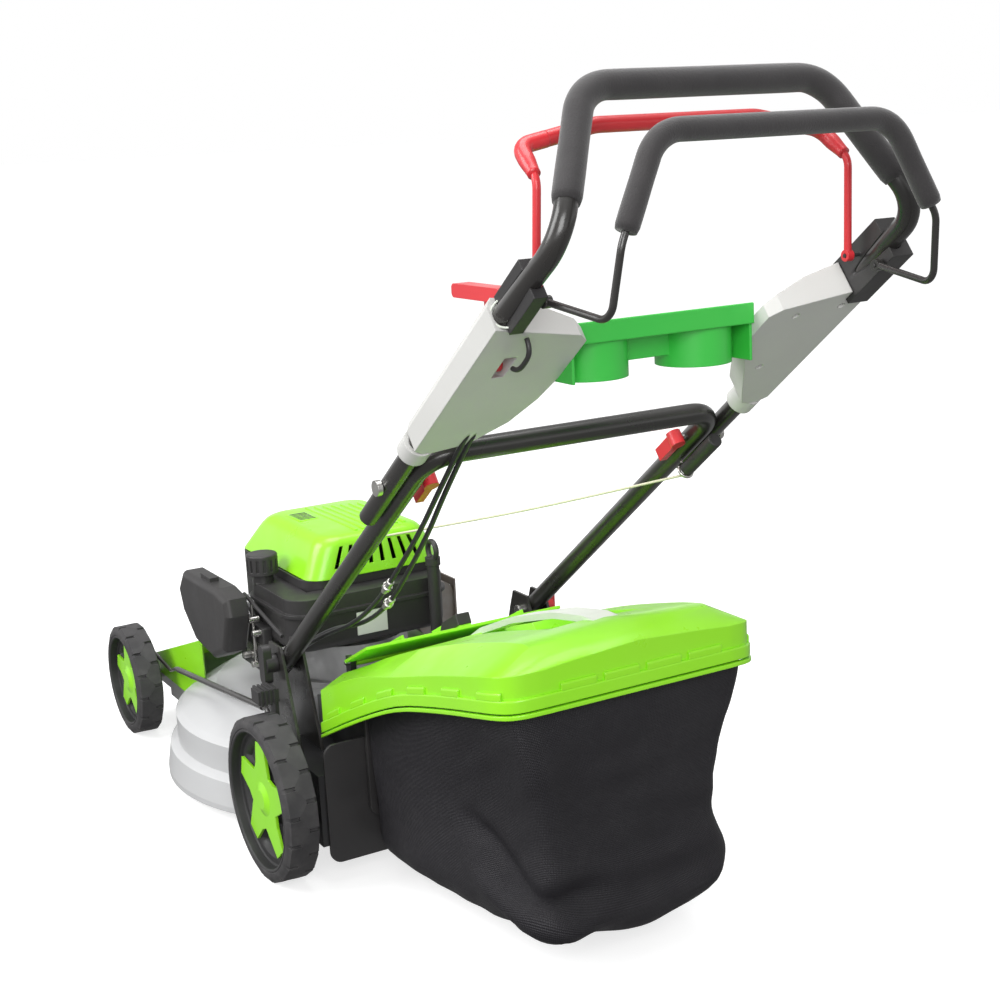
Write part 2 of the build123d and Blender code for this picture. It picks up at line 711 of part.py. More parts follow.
def make_flywheel():
    """Flywheel fan inside the housing."""
    disc = rod_z(0, DECK_Y, 262, 272, FLYWHEEL_R)
    vanes = []
    for turn in PolarLocations(FLYWHEEL_R - 20, 14):
        vanes.append(Pos(0, DECK_Y, 284) * turn * Rot(0, 0, 30) * Box(26, 4, 26))
    return disc + rod_z(0, DECK_Y, 270, 300, 24) + vanes


def make_adapter():
    """Blade adapter with its bolt."""
    boss = rod_z(0, DECK_Y, BLADE_Z + BLADE_T, BLADE_Z + 16, 30)
    bolt = rod_z(0, DECK_Y, BLADE_Z - 8, BLADE_Z, 12)
    return boss + bolt + rod_z(0, DECK_Y, BLADE_Z - 1, BLADE_Z + BLADE_T + 1, 6)


def make_blade():
    """Straight blade with lifted trailing ends."""
    half = BLADE_LENGTH / 2
    bar = block(-half, half, -BLADE_WIDTH / 2, BLADE_WIDTH / 2, 0, BLADE_T)
    for side in (-1, 1):
        tip = Rot(-side * 22, 0, 0) * Box(90, 22, BLADE_T)
        bar += Pos(side * (half - 46), -side * (BLADE_WIDTH / 2 + 6), 5) * tip
        edge = Rot(0, 0, side * 4) * Box(110, 10, 20)
        bar -= Pos(side * (half - 40), side * (BLADE_WIDTH / 2 + 2), 0) * edge
    return Pos(0, DECK_Y, BLADE_Z) * bar - rod_z(0, DECK_Y, 0, 90, 6 + RUN)


# Handle


def make_brackets():
    """Two pairs of triangular plates that carry the lower handle."""
    outline = [(150, TOP_Z), (16, TOP_Z), (62, 288), (102, 288), (112, 262)]
    near = LOWER_TUBE_R + GAP
    outer = side_plate(outline, LOWER_HALF + near, LOWER_HALF + near + 4)
    inner = side_plate(outline, LOWER_HALF - near - 4, LOWER_HALF - near)
    bore = rod_x(150, 250, pivot, BOLT_R + RUN)
    return pair(group(outer - bore, inner - bore))


def make_lower_handle():
    """U-shaped lower tube with its bolt holes."""
    low = (pivot[0] - 24 * cos(slope), pivot[1] - 24 * sin(slope))
    right = [(LOWER_HALF, CORNER_Y, CORNER_Z), (LOWER_HALF, *low)]
    left = [(-x, y, z) for x, y, z in reversed(right)]
    solid = tube(left + right, [40, 40], LOWER_TUBE_R, LOWER_TUBE_R - TUBE_WALL)
    return solid - [rod_x(-250, 250, clamp, BOLT_R + RUN), rod_x(-250, 250, pivot, BOLT_R + RUN)]


def make_pivot_bolts():
    """Bolts through the brackets and the foot of the handle."""
    inner = LOWER_HALF - LOWER_TUBE_R - GAP - 4
    outer = LOWER_HALF + LOWER_TUBE_R + GAP + 4
    bolt = rod_x(inner - 1, outer + 14, pivot, BOLT_R) + rod_x(inner - 6, inner, pivot, 8)
    return pair(bolt)


def make_knob():
    """Left wing knob on the pivot bolt."""
    near = LOWER_HALF + LOWER_TUBE_R + GAP + 4 + GAP
    hub = rod_x(-near - 16, -near, pivot, 13)
    wing = block(-near - 20, -near - 8, PIVOT_Y - 9, PIVOT_Y + 9, PIVOT_Z - 27, PIVOT_Z + 27)
    wing = fillet(wing.edges().filter_by(Axis.X), 8)
    return hub + wing - rod_x(-near - 15, -near, pivot, BOLT_R + 0.3)


def make_clamp_bolts():
    """Quick-release bolts at the fold, head outside."""
    outer = upper_x + UPPER_TUBE_R + GAP
    bolt = rod_x(LOWER_HALF - LOWER_TUBE_R - 3, outer + 1, clamp, BOLT_R)
    return pair(bolt + rod_x(outer, outer + 6, clamp, 9))


def make_cam_lever():
    """Left quick-release lever, its hub square to the bolt."""
    x = -LOWER_HALF + LOWER_TUBE_R + 3 + GAP + 9
    hub = rod((x, *on_handle(0, -9)), (x, *on_handle(0, 9)), 9)
    return hub + slope_block(x - 5, x + 5, -40, 6, -8, 8)


def make_handle_bolts():
    """All fixed hardware of the lower handle."""
    return group(make_pivot_bolts(), make_clamp_bolts(), make_rope_guide())


def bend_height():
    """Height of the bend where the slope turns up to the grip."""
    return clamp[1] + (BEND_Y - clamp[0]) * sin(slope) / cos(slope)


def make_upper_handle():
    """Upper tube: straight up the slope, then up to the grip bar."""
    side = [
        (upper_x, *on_handle(-OVERLAP)),
        (upper_x, *on_handle(330)),
        (BEND_HALF, BEND_Y, bend_height()),
        (GRIP_HALF, GRIP_Y, GRIP_Z),
    ]
    points = [(-x, y, z) for x, y, z in side] + list(reversed(side))
    solid = tube(points, [60, 40, GRIP_BEND, GRIP_BEND, 40, 60], UPPER_TUBE_R, UPPER_TUBE_R - TUBE_WALL)
    return solid - rod_x(-250, 250, clamp, BOLT_R + 0.3)


def make_grip_foam():
    """Foam sleeve over the grip."""
    share = (FOAM_LOW_Z - bend_height()) / (GRIP_Z - bend_height())
    low = (BEND_HALF + (GRIP_HALF - BEND_HALF) * share, BEND_Y + (GRIP_Y - BEND_Y) * share, FOAM_LOW_Z)
    side = [low, (GRIP_HALF, GRIP_Y, GRIP_Z)]
    points = [(-x, y, z) for x, y, z in side] + list(reversed(side))
    return tube(points, [GRIP_BEND, GRIP_BEND], FOAM_R, UPPER_TUBE_R + RUN)


def slope_plane():
    """Plane of the handle slope through the clamp, its y running down the slope."""
    return Plane(origin=(0, *clamp), x_dir=(1, 0, 0), z_dir=(0, sin(slope), -cos(slope)))


def panel_body(inner):
    """Right control housing: a plan seen square to the slope, with a slanted belly behind."""
    outer = [(PANEL_OUT, PANEL_HIGH), (PANEL_OUT, PANEL_LOW + 12), (PANEL_OUT - 14, PANEL_LOW)]
    plan = make_face(Polyline(*[(x, -along) for x, along in outer + inner], close=True))
    plate = extrude(slope_plane() * plan, amount=60, both=True)
    belly = [
        (PANEL_IN - 1, PANEL_LIFT), (PANEL_OUT, PANEL_LIFT), (PANEL_OUT, -10), (PANEL_OUT - 9, PANEL_DEEP),
        (200, PANEL_DEEP), (160, -16), (PANEL_IN - 1, 0),
    ]
    side = Plane(origin=(0, *clamp), x_dir=(1, 0, 0), z_dir=(0, cos(slope), sin(slope)))
    turned = [(x, -lift) for x, lift in belly]
    wedge = extrude(side * make_face(Polyline(*turned, close=True)), amount=500, both=True)
    return plate & wedge


def collar():
    """Round neck below the right housing, on its tube."""
    return rod((upper_x, *on_handle(PANEL_LOW - 20)), (upper_x, *on_handle(PANEL_LOW + 2)), COLLAR_R)


def tube_space(extra):
    """Passage for the right upper tube with a clearance."""
    points = [
        (upper_x, *on_handle(0)),
        (upper_x, *on_handle(330)),
        (BEND_HALF, BEND_Y, bend_height()),
        (GRIP_HALF, GRIP_Y, GRIP_Z),
    ]
    return tube(points, [60, 40], UPPER_TUBE_R + extra)


def make_left_panel():
    """Left control housing around the tube, with the throttle slot, a hook recess and cable holes."""
    inner = [(168, 108), (134, 146), (118, 190), (PANEL_IN, 230), (PANEL_IN, 300), (124, 312)]
    solid = mirrored(panel_body(inner) + collar())
    slot = block(LEVER_X - 7, LEVER_X + 7, LEVER_Y - 36, LEVER_Y + 36, LEVER_Z - 12, 800)
    recess = slope_block(-196, -184, 286, 322, PANEL_DEEP - 1, PANEL_DEEP + 6)
    pin_hole = rod_x(LEVER_X - 10.5, LEVER_X + 10.5, (LEVER_Y, LEVER_Z), 2.8)
    past = (CABLE_TOP[0] + 8.5, CABLE_TOP[1] + 1.2)
    holes = [rod((x, *on_handle(*CABLE_BEND)), (x, *on_handle(*past)), 3.4) for x in CABLE_X]
    return solid - [mirrored(tube_space(RUN)), mirrored(lugs(1.0)), slot, recess, pin_hole, *holes]


def make_right_panel():
    """Right control housing with screw pockets in its belly."""
    inner = [(196, 104), (176, 138), (146, 192), (124, 230), (PANEL_IN, 252), (PANEL_IN, 300), (124, 312)]
    solid = panel_body(inner) + collar()
    spots = ((150, 296), (205, 306), (168, 190))
    screws = [rod((x, *on_handle(along, -40)), (x, *on_handle(along, -12)), 4.5) for x, along in spots]
    return solid - [tube_space(RUN), switch_box(1.0), *screws]


def make_tray():
    """Tray between the housings with two cup bores."""
    plate = block(-PANEL_IN, PANEL_IN, TRAY_BACK_Y, TRAY_FRONT_Y, TRAY_Z - 3, TRAY_Z)
    rim = block(-PANEL_IN, PANEL_IN, TRAY_BACK_Y - 4, TRAY_BACK_Y, TRAY_Z - 3, TRAY_RIM_Z)
    rim = fillet(rim.edges().filter_by(Axis.X), 1.5)
    rim += block(-PANEL_IN, PANEL_IN, CUP_Y - 11, CUP_Y - 8, TRAY_Z - 30, TRAY_Z - 1)
    front = block(-PANEL_IN, PANEL_IN, TRAY_FRONT_Y, TRAY_FRONT_Y + 4, TRAY_Z - 16, TRAY_Z)
    wing = block(PANEL_IN - 3, PANEL_IN, TRAY_BACK_Y, TRAY_BACK_Y + 70, 700, TRAY_Z)
    solid = plate + rim + front + wing + mirrored(wing)
    for x in (-CUP_X, CUP_X):
        solid += rod_z(x, CUP_Y, TRAY_Z - CUP_DEPTH - 3, TRAY_Z - 1, CUP_R + 3)
    for x in (-CUP_X, CUP_X):
        solid -= rod_z(x, CUP_Y, TRAY_Z - CUP_DEPTH, TRAY_Z + 10, CUP_R)
    return solid


def make_throttle():
    """Throttle lever with a wide head."""
    x, y, z = LEVER_X, LEVER_Y, LEVER_Z
    stem = block(x - 3, x + 3, y - 6, y + 6, z, z + 64)
    head = fillet(block(x - 9, x + 9, y - 34, y + 61, z + 62, z + 76).edges().filter_by(Axis.X), 5)
    return stem + head + rod_x(x - 6.5, x + 6.5, (y, z), 8) + rod_x(x - 10, x + 10, (y, z), 2.5)


def switch_box(extra):
    """Control box around the right upper tube, grown by a clearance."""
    return slope_block(upper_x - 12.5 - extra, upper_x + 14 + extra, 318 - extra, 404 + extra, -20 - extra, 26 + extra)


def lugs(extra):
    """Slim block for the bail lugs, as on the right side, grown by a clearance."""
    return slope_block(upper_x - 12.5 - extra, upper_x + 2 + extra, 340 - extra, 400 + extra, -21 - extra, 21 + extra)


def bail_pins():
    """Pivot pins of both bails on the right side."""
    pivots = ((STOP_HALF, STOP_PIVOT_Y, STOP_PIVOT_Z), (DRIVE_PIVOT_HALF, DRIVE_PIVOT_Y, DRIVE_PIVOT_Z))
    return [rod_x(half - 5, upper_x - 8, (y, z), 2) for half, y, z in pivots]


def bail_brackets():
    """Box on the right tube and slim lugs on the left tube, with the pivot pins of the bails."""
    space = tube_space(GAP)
    right = switch_box(0.0) + bail_pins() - space
    left = lugs(0.0) + bail_pins() - space
    return group(right, mirrored(left))


def bail_eye(half, at):
    """Bored eye at the end of a bail wire."""
    return rod_x(half - 4, half + 4, at, 6), rod_x(half - 6, half + 6, at, 2.3)


def stop_path():
    """Bend points of the stop bail, right half from pivot to bar."""
    return [
        (STOP_HALF, STOP_PIVOT_Y, STOP_PIVOT_Z),
        (STOP_HALF - 3, STOP_KNEE_Y, STOP_KNEE_Z),
        (STOP_END_HALF, STOP_BAR_Y, STOP_END_Z),
        (STOP_BAR_HALF, STOP_BAR_Y, STOP_BAR_Z),
    ]


def make_stop_bail():
    """Red engine-stop bail with a bowed bar and a thick sleeve on it."""
    side = stop_path()
    points = [(-x, y, z) for x, y, z in side] + list(reversed(side))
    wire = tube(points, [18, 16, 60, 60, 16, 18], STOP_R)
    low, top = side[2:]
    end = tuple(a + (b - a) * 0.22 for a, b in zip(low, top))
    bar = [(-x, y, z) for x, y, z in (end, top)] + [top, end]
    sleeve = tube(bar, [60, 60], SLEEVE_R)
    eye, hole = bail_eye(STOP_HALF, side[0][1:])
    return wire + sleeve + eye + mirrored(eye) - [hole, mirrored(hole)]


def drive_path():
    """Bend points of the drive bail, right half from pivot to bar."""
    return [
        (DRIVE_PIVOT_HALF, DRIVE_PIVOT_Y, DRIVE_PIVOT_Z),
        (DRIVE_ELBOW_HALF, DRIVE_ELBOW_Y, DRIVE_ELBOW_Z),
        (DRIVE_KNEE_HALF, DRIVE_KNEE_Y, DRIVE_KNEE_Z),
        (DRIVE_BAR_HALF, DRIVE_BAR_Y, DRIVE_BAR_Z),
    ]


def make_drive_bail():
    """Wire bail that engages the drive."""
    side = drive_path()
    points = [(-x, y, z) for x, y, z in side] + list(reversed(side))
    wire = tube(points, [16, 30, 40, 40, 30, 16], DRIVE_R)
    eye, hole = bail_eye(DRIVE_PIVOT_HALF, side[0][1:])
    return wire + eye + mirrored(eye) - [hole, mirrored(hole)]


def make_drive_foam():
    """Foam sleeve over the drive bail bar."""
    knee, top = drive_path()[2:]
    low = tuple(a + (b - a) * 0.12 for a, b in zip(knee, top))
    side = [low, top]
    points = [(-x, y, z) for x, y, z in side] + list(reversed(side))
    return tube(points, [40, 40], DRIVE_FOAM_R, DRIVE_R + RUN)


# Cables and starter rope


def make_cables():
    """Two control cables from the left housing down to the engine."""
    made = []
    for i, x in enumerate(CABLE_X):
        points = [
            (x, *on_handle(*CABLE_TOP)),
            (x, *on_handle(*CABLE_BEND)),
            (x, *on_handle(-70, -42 - 6 * i)),
            (x + 6, -136 - 20 * i, 368),
            (x + 8, 40, 300 + 10 * i),
            (x + 8, 190, 216 - 8 * i),
            (x + 8, 262, 216 - 8 * i),
        ]
        made.append(tube(points, [60, 60, 60, 60, 40], 3))
    return group(*made)


def make_rope_guide():
    """Wire eye under the right lower tube."""
    y, z = on_handle(ROPE_GUIDE, -26)
    eye = Pos(LOWER_HALF, y, z) * Rot(degrees(slope) - 90, 0, 0) * Torus(9, 2)
    stem = rod((LOWER_HALF, *on_handle(ROPE_GUIDE, -LOWER_TUBE_R - 0.2)), (LOWER_HALF, *on_handle(ROPE_GUIDE, -17)), 2)
    return eye + stem


def make_rope():
    """Starter rope from the bonnet to the guide."""
    return rod((20.5, HOOD_BACK_Y + 9, 379), (LOWER_HALF, *on_handle(ROPE_GUIDE - 1, -31.1)), 1.6)


def make_starter_grip():
    """Moulded starter grip resting against the guide."""
    grip = rod((LOWER_HALF, *on_handle(ROPE_GUIDE + 2.4, -26)), (LOWER_HALF, *on_handle(ROPE_GUIDE + 78, -26)), 9)
    return fillet(grip.edges().filter_by(GeomType.CIRCLE), 2)


# Grass catcher

# Cross sections of the lid: y, half width, lower edge, crease, half width of the top, top
lid_stations = [
    (-8, 184, 184, 243, 150, 262),
    (-120, 182, 238, 291, 138, 308),
    (-231, 178, 285, 322, 130, 349),
    (-330, 173, 312, 350, 124, 379),
    (-438, 172, 337, 378, 121, 405),
    (-466, 170, 342, 384, 119, 399),
    (-484, 158, 346, 388, 110, 391),
]


def lid_shape(inset):
    """Lid with upright sides, sloped shoulders and a low crown, inset for its inside."""
    faces = []
    for i, (y, half, low, crease, top_half, top) in enumerate(lid_stations):
        if inset and i == 0:
            y += 1
        if inset and i == len(lid_stations) - 1:
            y += inset
        w = half - inset
        base = low - 1 if inset else low
        right = [(w, y, base), (w, y, crease - inset), (top_half - inset / 2, y, top - inset)]
        left = [(-x, y, z) for x, y, z in reversed(right)]
        crown = (0, y, top + LID_CROWN - inset)
        faces.append(make_face(Polyline(*right, crown, *left, close=True)))
    return loft(faces, ruled=True)


def lid_crown(y):
    """Height of the lid's middle line."""
    for front, back in zip(lid_stations, lid_stations[1:]):
        if back[0] <= y <= front[0]:
            share = (front[0] - y) / (front[0] - back[0])
            return front[5] + (back[5] - front[5]) * share + LID_CROWN
    return lid_stations[0][5] + LID_CROWN


def finger_well(extra):
    """Well in the lid below the carry handle, grown by the wall for its outside."""
    floor = [(y, lid_crown(y) - WELL_DEPTH - extra) for y in (-176, -231, -330, -372)]
    front = (-150 + extra, lid_crown(-150) - extra)
    back = (-398 - extra, lid_crown(-398) - extra)
    outline = [(front[0], 450), front, *floor, back, (back[0], 450)]
    return side_plate(outline, -WELL_HALF - extra, WELL_HALF + extra)


def make_lid():
    """Hard lid of the catcher with the well for the carry handle."""
    inside = lid_shape(WALL) - finger_well(WALL)
    return lid_shape(0) - finger_well(0) - inside


def make_lid_handle():
    """Low carry handle across the well along the middle of the lid."""
    along = [(-122, -5), (-150, 2), (-231, 6), (-330, 6), (-396, 2), (-424, -5)]
    path = FilletPolyline(*[(0, y, lid_crown(y) + up) for y, up in along], radius=[30, 60, 60, 30])
    start = Plane(origin=path @ 0, x_dir=(1, 0, 0), z_dir=path % 0)
    return sweep(start * Rectangle(34, 8), path=path) - (lid_shape(0) - finger_well(0))


def make_bag_frame():
    """Stiff mouth frame of the catcher."""
    back = BAG_FRONT_Y
    ring = fillet(block(-BAG_HALF, BAG_HALF, back, back + 6, 84, 232).edges().filter_by(Axis.Y), 14)
    ring -= block(-BAG_HALF + 10, BAG_HALF - 10, back - 5, back + 20, 96, 222)
    post = block(-20, 20, back, back + 6, 226, 320) & lid_shape(WALL)
    return ring + post


def make_bag():
    """Cloth bag hung below the lid, open at the top and the mouth."""
    outside = [
        (BAG_FRONT_Y, 60), (-111, 33), (-238, 40), (-374, 54), (-466, 66),
        (BAG_BACK_Y, 343), (-400, 326), (-330, 310), (-231, 283), (BAG_FRONT_Y, 218),
    ]
    inside = [
        (BAG_FRONT_Y + 5, 64), (-112, 36), (-238, 43), (-373, 57), (-463, 69),
        (BAG_BACK_Y + CLOTH, 360), (BAG_FRONT_Y + 5, 300),
    ]
    solid = side_plate(outside, -BAG_HALF, BAG_HALF)
    return solid - side_plate(inside, -BAG_HALF + CLOTH, BAG_HALF - CLOTH)


makers = {
    "rear_axle_frame": make_rear_axle,
    "height_lever": make_height_lever,
    "front_axle_frame": make_front_axle,
    "link_rod": make_link_rod,
    "drive_shaft": make_drive_shaft,
    "gearbox": make_gearbox,
    "drive_belt": make_belt,
    "deck_shell": make_deck,
    "front_trim": make_front_trim,
    "trailing_shield": make_shield,
    "rear_flap": make_flap,
    "flap_rod": make_flap_rod,
    "crankcase": make_crankcase,
    "cylinder": make_cylinder,
    "muffler": make_muffler,
    "blower_housing": make_blower,
    "engine_hood": make_hood,
    "fuel_tank": make_tank,
    "fuel_cap": make_fuel_cap,
    "dipstick": make_dipstick,
    "oil_tube": make_oil_tube,
    "carburettor": make_carburettor,
    "air_filter_cover": make_air_filter,
    "control_bracket": make_control_bracket,
    "crankshaft": make_crankshaft,
    "flywheel": make_flywheel,
    "blade_adapter": make_adapter,
    "blade": make_blade,
    "handle_brackets": make_brackets,
    "lower_handle": make_lower_handle,
    "handle_bolts": make_handle_bolts,
    "upper_handle": make_upper_handle,
    "grip_foam": make_grip_foam,
    "left_panel": make_left_panel,
    "right_panel": make_right_panel,
    "cup_tray": make_tray,
    "throttle_lever": make_throttle,
    "bail_brackets": bail_brackets,
    "stop_bail": make_stop_bail,
    "drive_bail": make_drive_bail,
    "drive_bail_foam": make_drive_foam,
    "cables": make_cables,
    "starter_rope": make_rope,
    "starter_grip": make_starter_grip,
    "bag_lid": make_lid,
    "lid_handle": make_lid_handle,
    "bag_frame": make_bag_frame,
    "bag_cloth": make_bag,
}
parts = make_wheels()
for name, make in makers.items():
    parts[name] = make()
parts["knob_left"] = make_knob()
parts["knob_right"] = mirrored(parts["knob_left"])
parts["cam_lever_left"] = make_cam_lever()
parts["cam_lever_right"] = mirrored(parts["cam_lever_left"])

back_y = min(shape.bounding_box().min.Y for shape in parts.values())
front_y = max(shape.bounding_box().max.Y for shape in parts.values())
to_origin = Pos(0, -(back_y + front_y) / 2, 0)

os.makedirs("parts", exist_ok=True)
for name, shape in parts.items():
    export_step(to_origin * shape, f"parts/{name}.step")
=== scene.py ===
"""Dressed scene of a walk-behind petrol mower: cords, finishes, cloth, small fittings, light and camera."""

import json
from math import atan2, cos, exp, hypot, pi, radians, sin, tan

import bmesh
import bpy
from mathutils import Matrix, Vector, noise

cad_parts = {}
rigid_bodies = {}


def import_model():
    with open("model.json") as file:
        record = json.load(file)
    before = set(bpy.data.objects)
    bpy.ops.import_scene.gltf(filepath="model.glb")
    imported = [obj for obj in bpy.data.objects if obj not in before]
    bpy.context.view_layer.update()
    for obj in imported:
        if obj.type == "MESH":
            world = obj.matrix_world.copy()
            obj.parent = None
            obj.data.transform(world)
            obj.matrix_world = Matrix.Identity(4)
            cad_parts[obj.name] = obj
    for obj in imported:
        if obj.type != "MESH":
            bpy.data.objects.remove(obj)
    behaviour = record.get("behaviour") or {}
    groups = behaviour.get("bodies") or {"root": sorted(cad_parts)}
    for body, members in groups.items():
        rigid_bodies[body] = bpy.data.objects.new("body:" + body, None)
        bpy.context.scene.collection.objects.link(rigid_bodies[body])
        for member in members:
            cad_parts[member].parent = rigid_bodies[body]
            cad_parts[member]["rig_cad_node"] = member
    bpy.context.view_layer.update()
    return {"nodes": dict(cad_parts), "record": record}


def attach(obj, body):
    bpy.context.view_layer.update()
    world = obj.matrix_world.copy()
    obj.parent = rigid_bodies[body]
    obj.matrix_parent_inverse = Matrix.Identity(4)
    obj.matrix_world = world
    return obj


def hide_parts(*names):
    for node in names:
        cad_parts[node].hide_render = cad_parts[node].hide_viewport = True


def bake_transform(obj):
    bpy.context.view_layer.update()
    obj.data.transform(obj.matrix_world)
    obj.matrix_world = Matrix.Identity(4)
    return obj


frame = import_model()
nodes = frame["nodes"]

MM = 0.001
# Place of the rear axle along y in the frame, in metres
SHIFT_Y = 0.005809608

# Places on the mower, in millimetres from the rear axle on the ground; points of the handle are (y, z)
HANDLE_FOOT = (82, 263)
HANDLE_TOP = (-379, 615)
CLAMP = (-328.93, 576.77)
SLOPE = atan2(HANDLE_TOP[1] - HANDLE_FOOT[1], HANDLE_TOP[0] - HANDLE_FOOT[0])
LOWER_HALF = 192
# Wheels: radius, tread, outer face, axle y, radius of the drum, lugs in a row
REAR_WHEEL = (110, 46, 283, 0, 59, 18)
FRONT_WHEEL = (90, 43, 264, 652, 50, 15)
# Cross sections of the lid: y, half width, lower edge, crease, half width of the top, top
LID_STATIONS = [
    (-484, 122, 346, 388, 90, 391),
    (-481, 143, 345, 387, 104, 392),
    (-473, 157, 343, 385, 113, 396),
    (-460, 166, 341, 382, 118, 401),
    (-438, 171, 337, 378, 121, 405),
    (-330, 173, 312, 350, 124, 379),
    (-231, 178, 285, 322, 130, 349),
    (-120, 182, 238, 291, 138, 308),
    (-8, 184, 184, 243, 150, 262),
]


def at(x, y, z):
    """A point in millimetres from the rear axle, in the row frame."""
    return Vector((x * MM, y * MM + SHIFT_Y, z * MM))


def on_handle(along, lift=0.0):
    """(y, z) at a distance up the handle slope from the clamp bolt, lifted square to it."""
    y = CLAMP[0] + along * cos(SLOPE) + lift * sin(SLOPE)
    z = CLAMP[1] + along * sin(SLOPE) - lift * cos(SLOPE)
    return y, z


# Camera


def make_camera():
    """Camera behind and to the left of the mower, at the photograph's angle."""
    data = bpy.data.cameras.new("camera")
    data.sensor_width = 36
    data.lens = 58.49
    roll = radians(-2.9)
    forward = Vector((0.47463, 0.85131, -0.22360)).normalized()
    level = forward.cross(Vector((0, 0, 1))).normalized()
    upright = level.cross(forward)
    right = cos(roll) * level + sin(roll) * upright
    up = cos(roll) * upright - sin(roll) * level
    camera = bpy.data.objects.new("camera", data)
    camera.matrix_world = Matrix((right, up, -forward)).transposed().to_4x4()
    camera.location = at(-954.7, -1900.1, 952.5)
    bpy.context.scene.collection.objects.link(camera)
    bpy.context.scene.camera = camera


make_camera()


# Mesh helpers


def piece(name, mesh, body=None, smooth=True):
    """A new object of the scene, riding on a body."""
    obj = bpy.data.objects.new(name, mesh)
    bpy.context.scene.collection.objects.link(obj)
    if smooth:
        mesh.polygons.foreach_set("use_smooth", [True] * len(mesh.polygons))
    if body:
        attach(obj, body)
    return obj


def mesh_from(bm, name):
    """The mesh of a bmesh, which is then freed."""
    mesh = bpy.data.meshes.new(name)
    bm.to_mesh(mesh)
    bm.free()
    return mesh


def face_up(bm):
    """Turns the faces of an open shell so that its top looks up."""
    bmesh.ops.recalc_face_normals(bm, faces=bm.faces)
    if sum(f.normal.z * f.calc_area() for f in bm.faces) < 0:
        bmesh.ops.reverse_faces(bm, faces=bm.faces)


def loft_faces(rings, sides):
    """Faces over a row of closed rings of points, with both ends closed."""
    faces = []
    for i in range(rings - 1):
        for k in range(sides):
            a = i * sides + k
            b = i * sides + (k + 1) % sides
            faces.append((a, b, b + sides, a + sides))
    faces.append(tuple(range(sides)))
    faces.append(tuple((rings - 1) * sides + k for k in range(sides)))
    return faces


def mesh_of(name, vertices, faces):
    """A mesh from points and faces, with its faces turned outwards."""
    bm = bmesh.new()
    made = [bm.verts.new(v) for v in vertices]
    for face in faces:
        bm.faces.new([made[i] for i in face])
    bmesh.ops.recalc_face_normals(bm, faces=bm.faces)
    return mesh_from(bm, name)


def spline_points(points, bezier=False):
    """Points along a smooth spline through or near the given ones."""
    curve = bpy.data.curves.new("line", "CURVE")
    curve.dimensions = "3D"
    if bezier:
        spline = curve.splines.new("BEZIER")
        spline.bezier_points.add(len(points) - 1)
        for knot, (co, left, right) in zip(spline.bezier_points, points):
            knot.co = co
            knot.handle_left = left
            knot.handle_right = right
    else:
        spline = curve.splines.new("NURBS")
        spline.points.add(len(points) - 1)
        for knot, co in zip(spline.points, points):
            knot.co = (*co, 1)
        spline.order_u = 3
        spline.use_endpoint_u = True
    spline.resolution_u = 16
    obj = bpy.data.objects.new("line", curve)
    mesh = bpy.data.meshes.new_from_object(obj)
    line = [v.co.copy() for v in mesh.vertices]
    bpy.data.objects.remove(obj)
    bpy.data.curves.remove(curve)
    bpy.data.meshes.remove(mesh)
    return line


def line_length(line):
    """Length along a row of points."""
    return sum((b - a).length for a, b in zip(line, line[1:]))


def frames_along(line):
    """Square axes carried along a line without twisting."""
    axes = []
    side = None
    for i, here in enumerate(line):
        ahead = line[min(i + 1, len(line) - 1)]
        behind = line[max(i - 1, 0)]
        along = (ahead - behind).normalized()
        if side is None:
            side = along.orthogonal().normalized()
        side = (side - along * side.dot(along)).normalized()
        axes.append((here, side, along.cross(side)))
    return axes


def sweep(name, line, radius, sides=16):
    """A round bar with closed ends along a line; radius is a function of the share of the way."""
    vertices = []
    last = len(line) - 1
    for i, (here, u, v) in enumerate(frames_along(line)):
        r = radius(i / last) * MM
        for k in range(sides):
            turn = 2 * pi * k / sides
            vertices.append(here + u * (r * cos(turn)) + v * (r * sin(turn)))
    return mesh_of(name, vertices, loft_faces(len(line), sides))


def cushion_box(name, low, high, soft):
    """A box with rounded edges, between two corners in millimetres."""
    bm = bmesh.new()
    bmesh.ops.create_cube(bm, size=1)
    middle = (at(*low) + at(*high)) / 2
    size = at(*high) - at(*low)
    for v in bm.verts:
        v.co = Vector((v.co.x * size.x, v.co.y * size.y, v.co.z * size.z)) + middle
    bmesh.ops.bevel(bm, geom=bm.edges[:], offset=soft * MM, segments=3, affect="EDGES", profile=0.5)
    return mesh_from(bm, name)


def lathe(name, profile, centre, axis, sides=48):
    """A turned piece from (radius, distance along the axis) pairs in millimetres."""
    along = Vector(axis).normalized()
    u = along.orthogonal().normalized()
    v = along.cross(u)
    vertices = []
    for r, d in profile:
        for k in range(sides):
            turn = 2 * pi * k / sides
            vertices.append(centre + (along * d + u * (r * cos(turn)) + v * (r * sin(turn))) * MM)
    return mesh_of(name, vertices, loft_faces(len(profile), sides))


# Materials


